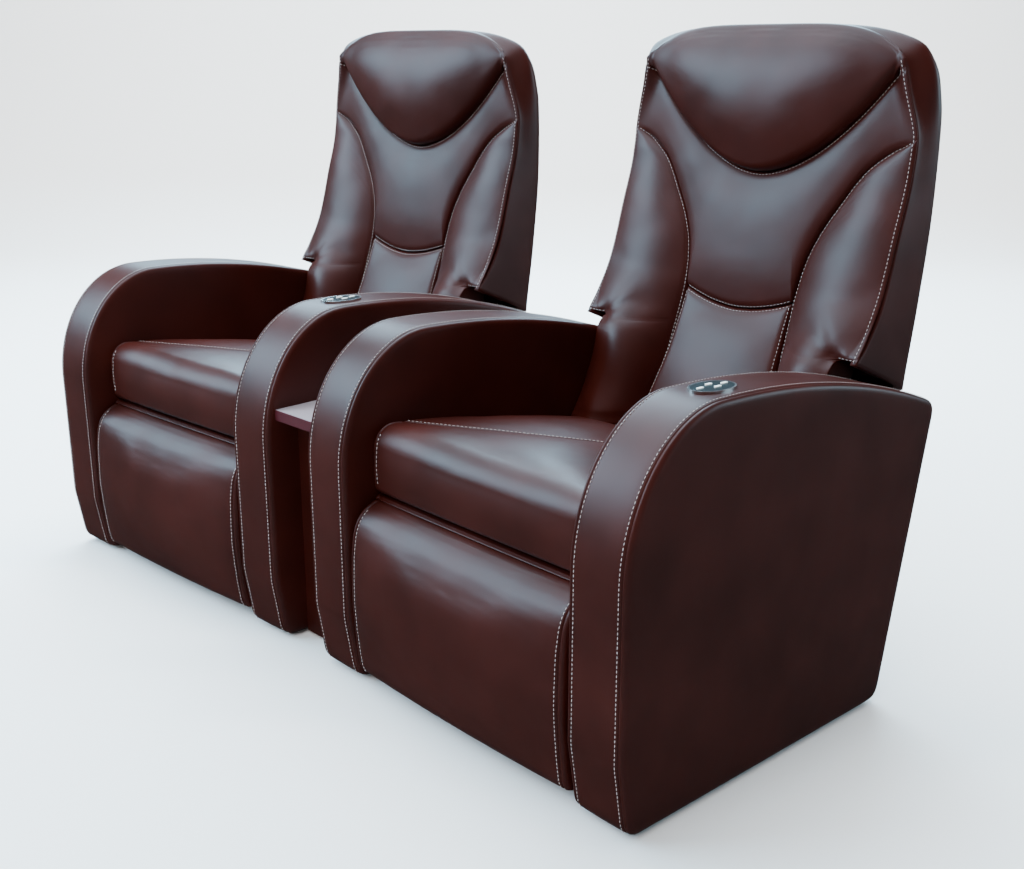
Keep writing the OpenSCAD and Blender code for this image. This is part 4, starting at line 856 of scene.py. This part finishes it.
def plumped(name, points, faces, held, most):
    """Swells a pad as cloth under pressure, sewn down where it's held, and moves its points by as much."""
    scene = bpy.context.scene
    start = new_mesh(name + "_start", points, faces)
    start.transform(Matrix.Scale(0.001, 4))
    pad = bpy.data.objects.new(name + "_pad", start)
    scene.collection.objects.link(pad)
    remesh = pad.modifiers.new("Remesh", "REMESH")
    remesh.mode = "VOXEL"
    remesh.voxel_size = VOXEL
    bpy.context.view_layer.update()
    even = bpy.data.meshes.new_from_object(pad.evaluated_get(bpy.context.evaluated_depsgraph_get()))
    pad.modifiers.clear()
    pad.data = even
    tree = KDTree(len(points))
    for i, point in enumerate(points):
        tree.insert(Vector(point) * 0.001, i)
    tree.balance()
    before = np.array([v.co for v in even.vertices])
    sewn = pad.vertex_groups.new(name="sewn")
    fixed = np.array([held[tree.find(v.co)[1]] for v in even.vertices])
    sewn.add(np.flatnonzero(fixed).tolist(), 1.0, "ADD")
    cloth = pad.modifiers.new("Cloth", "CLOTH").settings
    cloth.quality = 4
    cloth.mass = 0.35
    cloth.tension_stiffness = 22
    cloth.compression_stiffness = 22
    cloth.shear_stiffness = 12
    cloth.bending_stiffness = 1.2
    cloth.shrink_min = -0.012
    cloth.use_pressure = True
    cloth.uniform_pressure_force = 4
    cloth.effector_weights.gravity = 0
    cloth.vertex_group_mass = "sewn"
    for frame_number in range(1, CLOTH_STEPS + 1):
        scene.frame_set(frame_number)
    settled = pad.evaluated_get(bpy.context.evaluated_depsgraph_get())
    moved = np.array([v.co for v in settled.data.vertices]) - before
    scene.frame_set(1)
    # Taut upholstery shows no creases, so the movement is evened out over about 25 mm between the seams
    ends = np.empty(len(even.edges) * 2, int)
    even.edges.foreach_get("vertices", ends)
    one, other = ends[::2], ends[1::2]
    beside = np.bincount(ends, minlength=len(before))[:, None]
    for _ in range(EVEN_ROUNDS):
        total = [np.bincount(one, moved[other, k], len(before))
                 + np.bincount(other, moved[one, k], len(before)) for k in range(3)]
        moved = 0.5 * moved + 0.5 * np.stack(total, -1) / beside
        moved[fixed] = 0
    bpy.data.objects.remove(pad)
    # The fullest place moves by the most that is given, in millimetres, and the rest in proportion
    reach = np.linalg.norm(moved, axis=1)
    scale = most * 0.001 * np.tanh(reach / np.percentile(reach, 99.5)) / 0.76 / np.maximum(reach, 1e-9)
    moved = moved * scale[:, None]
    tree = KDTree(len(before))
    for i, point in enumerate(before):
        tree.insert(point, i)
    tree.balance()
    shifts = []
    for point in points:
        found = tree.find_n(Vector(point) * 0.001, NEAREST)
        weights = np.array([1 / (f[2] + 0.002) for f in found])
        shifts.append(weights @ moved[[f[1] for f in found]] / weights.sum())
    # Where it is sewn down, a pad still moves a little
    return points + np.array(shifts) * 1000 * np.where(held, 0.15, 1)[:, None]


FORMS = {}


def form(name):
    """The mesh of an upholstered form in a seat's own millimetres, made once for both seats."""
    if name not in FORMS:
        # Each pad's form, and how far it swells at most
        pads = {"cushion": (cushion_form, 10), "footrest": (footrest_form, 10),
                "headrest": (headrest_form, 11), "centre": (centre_form, 6),
                "lumbar": (lumbar_form, 6), "wing_right": (wing_form, 5)}
        covers = {"shell": shell_form, "arm_inner": lambda: arm_form(-ARM_X),
                  "arm_outer": lambda: arm_form(ARM_X)}
        if name == "wing_left":
            mesh = form("wing_right").copy()
            mesh.transform(Matrix.Scale(-1, 4, (1, 0, 0)))
            mesh.flip_normals()
            FORMS[name] = mesh
        elif name in pads:
            maker, most = pads[name]
            points, faces, held = maker()
            FORMS[name] = new_mesh(name, plumped(name, points, faces, held, most), faces)
        else:
            FORMS[name] = new_mesh(name, *covers[name]())
    return FORMS[name]


def surface(*names):
    """A tree for finding places on forms."""
    points, faces = [], []
    for name in names:
        mesh = form(name)
        faces += [tuple(v + len(points) for v in p.vertices) for p in mesh.polygons]
        points += [v.co.copy() for v in mesh.vertices]
    return BVHTree.FromPolygons(points, faces)


# How far the thread's middle stands off the cover, and how far off a place starts when it is laid
THREAD_LIFT, FAR_OFF = 0.35, 400


def lay(tree, places, direction):
    """Drops places onto a surface along a direction, and gives them with its outward directions."""
    found = []
    for p in places:
        hit, normal, _, _ = tree.ray_cast(Vector(p) - Vector(direction) * FAR_OFF, Vector(direction))
        if hit is not None:
            normal = normal if normal.dot(Vector(direction)) < 0 else -normal
            found.append((hit + normal * THREAD_LIFT, normal))
    return [f[0] for f in found], [f[1] for f in found]


def padded_piece(name, kind, side, body, node_name):
    """A padded cover in its place, with one subdivision, which stands for its CAD pad."""
    piece = add_piece(name, form(kind), side, finishes()["leather"], body, [node_name])
    finer = piece.modifiers.new("Subdivision", "SUBSURF")
    finer.levels = 1
    finer.render_levels = 1
    return piece


class RECLINER_OT_arms(Operator):
    """Upholsters the arms, with a band over the top and front between two side panels"""
    bl_idname = "recliner.arms"
    bl_label = "Arms"

    def execute(self, context):
        line, out = arm_outline()
        # The sewn length runs from the front foot over the top and down the rear corner
        start = int(np.argmin(np.abs(line[:, 0] - 15) + np.abs(line[:, 1] - 12)))
        end = int(np.argmin(np.abs(line[:, 0] - 663) + np.abs(line[:, 1] - 12)))
        order = [(start + i) % len(line) for i in range((end - start) % len(line))]
        if len(order) < len(line) / 2:
            raise RuntimeError("the arm's outline runs the wrong way round")
        for word, side in SIDES.items():
            for which, x in (("inner", ARM_X * -side), ("outer", ARM_X * side)):
                kind = "arm_inner" if x < 0 else "arm_outer"
                cad = f"{word}_{which}_arm"
                leather = finishes()["leather"]
                add_piece(cad + "_cover", form(kind), side, leather, "base", [cad])
                rows = []
                for edge in (-1, 1):
                    beside = x + edge * (ARM_SEAM_X - BESIDE_SEAM)
                    places = [(beside, *(line[i] + out[i] * 0.1)) for i in order]
                    rows.append((places, [(0, *out[i]) for i in order]))
                sew(f"{word}_{which}_arm_stitches", rows, side, "base")
        return {"FINISHED"}


class RECLINER_OT_cushions(Operator):
    """Makes the seat cushions and footrest pads, with their sewn seams"""
    bl_idname = "recliner.cushions"
    bl_label = "Cushions and footrests"

    def execute(self, context):
        seat, rest = surface("cushion"), surface("footrest")
        across = np.linspace(-250, 250, 200)
        rows = [lay(seat, [(x, cushion_seam_y(x) + BESIDE_SEAM, 560) for x in across], (0, 0, -1))]
        pads = []
        for sign in (-1, 1):
            x = sign * ((CUSHION_HALF - CUSHION_SIDE_R) * CUSHION_CORNER - BESIDE_SEAM)
            rows.append(lay(seat, [(x, 0, z) for z in np.linspace(384, 468, 40)], (0, 1, 0)))
            x = sign * (PAD_CORNER * PAD_HALF - BESIDE_SEAM)
            pads.append(lay(rest, [(x, 0, z) for z in np.linspace(36, 336, 94)], (0, 1, 0)))
        for word, side in SIDES.items():
            foot = f"{word}_footrest"
            padded_piece(f"{word}_seat_cushion_cover", "cushion", side, "base", f"{word}_seat_cushion")
            padded_piece(f"{word}_footrest_cover", "footrest", side, foot, f"{word}_footrest_pad")
            sew(f"{word}_cushion_stitches", rows, side, "base")
            sew(f"{word}_footrest_stitches", pads, side, foot)
        return {"FINISHED"}


class RECLINER_OT_backs(Operator):
    """Makes the back panels, bolsters and outer cover, with their seams"""
    bl_idname = "recliner.backs"
    bl_label = "Backs"

    def execute(self, context):
        tree = surface("headrest", "centre", "lumbar", "wing_left", "wing_right")
        backwards = (0, 1, 0)
        rows = []
        heights = np.linspace(440, 953, 150)
        for sign in (-1, 1):
            lines = [[(sign * (seam_x(z) + BESIDE_SEAM), 0, z) for z in heights],
                     [(sign * (seam_x(z) - BESIDE_SEAM), 0, z) for z in heights if z < 660],
                     [(sign * (half_w(z) - 7), 0, z) for z in np.linspace(HEM_Z, 1084, 150)],
                     [(sign * x, 0, HEM_Z) for x in np.linspace(276, half_w(HEM_Z) - 8, 12)]]
            rows += [lay(tree, line, backwards) for line in lines]
        u = np.linspace(-0.97, 0.97, 180)
        rows.append(lay(tree, [(HEAD_END * s, 0, head_seam_z(HEAD_END * s) - 5) for s in u], backwards))
        u = np.linspace(-0.93, 0.93, 80)
        seam = [(LUMBAR_HALF * s, LUMBAR_SEAM_Z + LUMBAR_SEAM_RISE * bow(s)) for s in u]
        for offset in (-BESIDE_SEAM, BESIDE_SEAM):
            rows.append(lay(tree, [(x, 0, z + offset) for x, z in seam], backwards))
        # The rear panel's seam runs 26 mm inside the outline, with a row on each side of it
        cover = surface("shell")
        heights = np.linspace(545, 1030, 140)
        for sign in (-1, 1):
            for offset in (-5, 5):
                places = [(sign * (rear_half_w(z) - 26 + offset), 1200, z) for z in heights]
                rows.append(lay(cover, places, (0, -1, 0)))
        panels = [("headrest", "headrest_pad"), ("centre", "centre_pad"), ("lumbar", "lumbar_pad"),
                  ("wing_left", "wing_pads"), ("wing_right", "wing_pads")]
        leather = finishes()["leather"]
        for word, side in SIDES.items():
            body = f"{word}_back"
            for kind, cad in panels:
                padded_piece(f"{word}_{kind}_panel", kind, side, body, f"{word}_{cad}")
            cad = f"{word}_back_shell"
            add_piece(f"{word}_back_cover", form("shell"), side, leather, body, [cad])
            sew(f"{word}_back_stitches", rows, side, body)
        return {"FINISHED"}


class RECLINER_OT_finishes(Operator):
    """Gives the frame, linkage, switches and console their finishes"""
    bl_idname = "recliner.finishes"
    bl_label = "Frame, switches and console"

    def execute(self, context):
        # By the node's name after its side, and by its whole name for what the seats share
        chosen = {
            "base_frame": "paint", "back_frame": "paint", "seat_frame": "plywood", "seat_webbing": "webbing",
            "footrest_motor": "plastic", "back_motor": "plastic", "swing_links": "zinc",
            "reach_links": "zinc", "guide_links": "zinc", "footrest_links": "zinc",
            "footrest_board": "plywood", "footrest_slider": "nylon", "back_slider": "nylon",
            "legrest_key": "rubber", "out_key": "rubber", "in_key": "rubber", "recline_key": "rubber",
        }
        shared = {
            "switch_bezels": "rim", "switch_plates": "face", "glides": "plastic",
            "console_box": "lining", "console_front": "leather", "console_top": "laminate",
        }
        for name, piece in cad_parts.items():
            finish = shared.get(name) or chosen.get(name.split("_", 1)[1])
            if finish:
                piece.data.materials.clear()
                piece.data.materials.append(finishes()[finish])
        # The edging is a strip on the front of the console's top, 1.2 mm proud of it
        low, high = (corner * 1000 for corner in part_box("console_top"))
        xs, ys, zs = (low.x + 0.4, high.x - 0.4), (low.y - 1.2, low.y + 0.4), (low.z + 0.3, high.z - 0.3)
        points = [(x, y, z) for x in xs for y in ys for z in zs]
        faces = [(0, 1, 3, 2), (4, 6, 7, 5), (0, 4, 5, 1), (2, 3, 7, 6), (0, 2, 6, 4), (1, 5, 7, 3)]
        strip = new_mesh("edging", points, faces, smooth_faces=False)
        add_piece("console_edging", strip, None, finishes()["edging"], "base")
        return {"FINISHED"}


class RECLINER_OT_stage(Operator):
    """Sets out the floor, the lights and the camera"""
    bl_idname = "recliner.stage"
    bl_label = "Studio"

    def execute(self, context):
        sizes = context.scene.recliner_sizes
        half = sizes.floor_size / 2
        view = Matrix.Rotation(VIEW_TURN, 4, "Z")
        # A pale floor that curves up behind the seats, where the camera looks
        start, radius, top = 4.5, 2.5, 9
        profile = [(-half, 0)]
        for a in np.linspace(0, math.pi / 2, 24):
            profile.append((start + radius * math.sin(a), radius - radius * math.cos(a)))
        profile.append((start + radius, top))
        points = [(across, along, up) for along, up in profile for across in (-half, half)]
        faces = [(2 * i, 2 * i + 1, 2 * i + 3, 2 * i + 2) for i in range(len(profile) - 1)]
        mesh = new_mesh("floor", points, faces)
        mesh.transform(view)
        floor = bpy.data.objects.new("floor", mesh)
        colour = (*sizes.floor_colour, 1)
        material, _, _ = shader("Painted studio floor", Base_Color=colour, Roughness=0.7)
        mesh.materials.append(material)
        context.scene.collection.objects.link(floor)
        floor.visible_glossy = False
        world = bpy.data.worlds.new("Studio")
        world.use_nodes = True
        background = world.node_tree.nodes["Background"].inputs
        background["Color"].default_value = (0.9, 0.95, 1, 1)
        background["Strength"].default_value = 0.1
        context.scene.world = world
        # Cool softboxes show in the leather. The fill and the backdrop's wash only light, unmirrored.
        # Each has its name, place, aim, size, power, colour and whether it is mirrored
        wash_at, wash_aim = view @ Vector((0, 1.5, 6.5)), view @ Vector((0, 7, 1.5))
        lamps = [("rim", (-2.8, 3.0, 3.0), (0, 0, 0.6), (5, 3), 520, (0.5, 0.8, 1.0), True),
                 ("window", (-2.9, -2.8, 2.7), (0, 0.3, 0.8), (3.6, 2.2), 400, (0.5, 0.79, 1.0), True),
                 ("overhead", (-0.8, 0.2, 3.9), (0, 0.2, 0), (5, 4), 380, (0.62, 0.85, 1.0), True),
                 ("side", (3.2, 3.4, 1.7), (0, 0.3, 0.9), (2.6, 1.4), 90, (0.6, 0.85, 1.0), True),
                 ("fill", (1.6, -3.4, 3.2), (0, 0, 0.4), (3.5, 3), 170, (1.0, 0.93, 0.9), False),
                 ("wash", wash_at, wash_aim, (7, 1.5), 1500, (1.0, 0.98, 0.95), False)]
        for name, at, aim, size, power, colour, mirrored in lamps:
            lamp = bpy.data.lights.new(name, "AREA")
            lamp.shape = "RECTANGLE"
            lamp.size = size[0]
            lamp.size_y = size[1]
            lamp.energy = power
            lamp.color = colour
            placed = bpy.data.objects.new(name, lamp)
            placed.location = at
            placed.rotation_euler = (Vector(aim) - Vector(at)).to_track_quat("-Z", "Y").to_euler()
            placed.visible_glossy = mirrored
            context.scene.collection.objects.link(placed)
        camera = bpy.data.objects.new("camera", bpy.data.cameras.new("camera"))
        camera.data.lens = 44.54
        camera.data.sensor_width = 36
        camera.location = (1.855, -1.234 - ORIGIN_Y / 1000, 1.099)
        camera.rotation_euler = (VIEW_TILT, 0, VIEW_TURN)
        context.scene.collection.objects.link(camera)
        context.scene.camera = camera
        return {"FINISHED"}


class RECLINER_PT_panel(Panel):
    bl_idname = "RECLINER_PT_panel"
    bl_label = "Cinema recliner pair"
    bl_space_type = "VIEW_3D"
    bl_region_type = "UI"
    bl_category = "Recliner"

    def draw(self, context):
        for name in RECLINER_PG_sizes.__annotations__:
            self.layout.prop(context.scene.recliner_sizes, name)
        for step in STEPS:
            self.layout.operator(step.bl_idname)


STEPS = (RECLINER_OT_arms, RECLINER_OT_cushions, RECLINER_OT_backs, RECLINER_OT_finishes, RECLINER_OT_stage)
CLASSES = (RECLINER_PG_sizes,) + STEPS + (RECLINER_PT_panel,)


def register():
    for item in CLASSES:
        bpy.utils.register_class(item)
    bpy.types.Scene.recliner_sizes = PointerProperty(type=RECLINER_PG_sizes)


def unregister():
    del bpy.types.Scene.recliner_sizes
    for item in reversed(CLASSES):
        bpy.utils.unregister_class(item)


def main():
    register()
    for step in STEPS:
        getattr(bpy.ops.recliner, step.bl_idname.split(".")[1])()


if __name__ == "__main__":
    main()
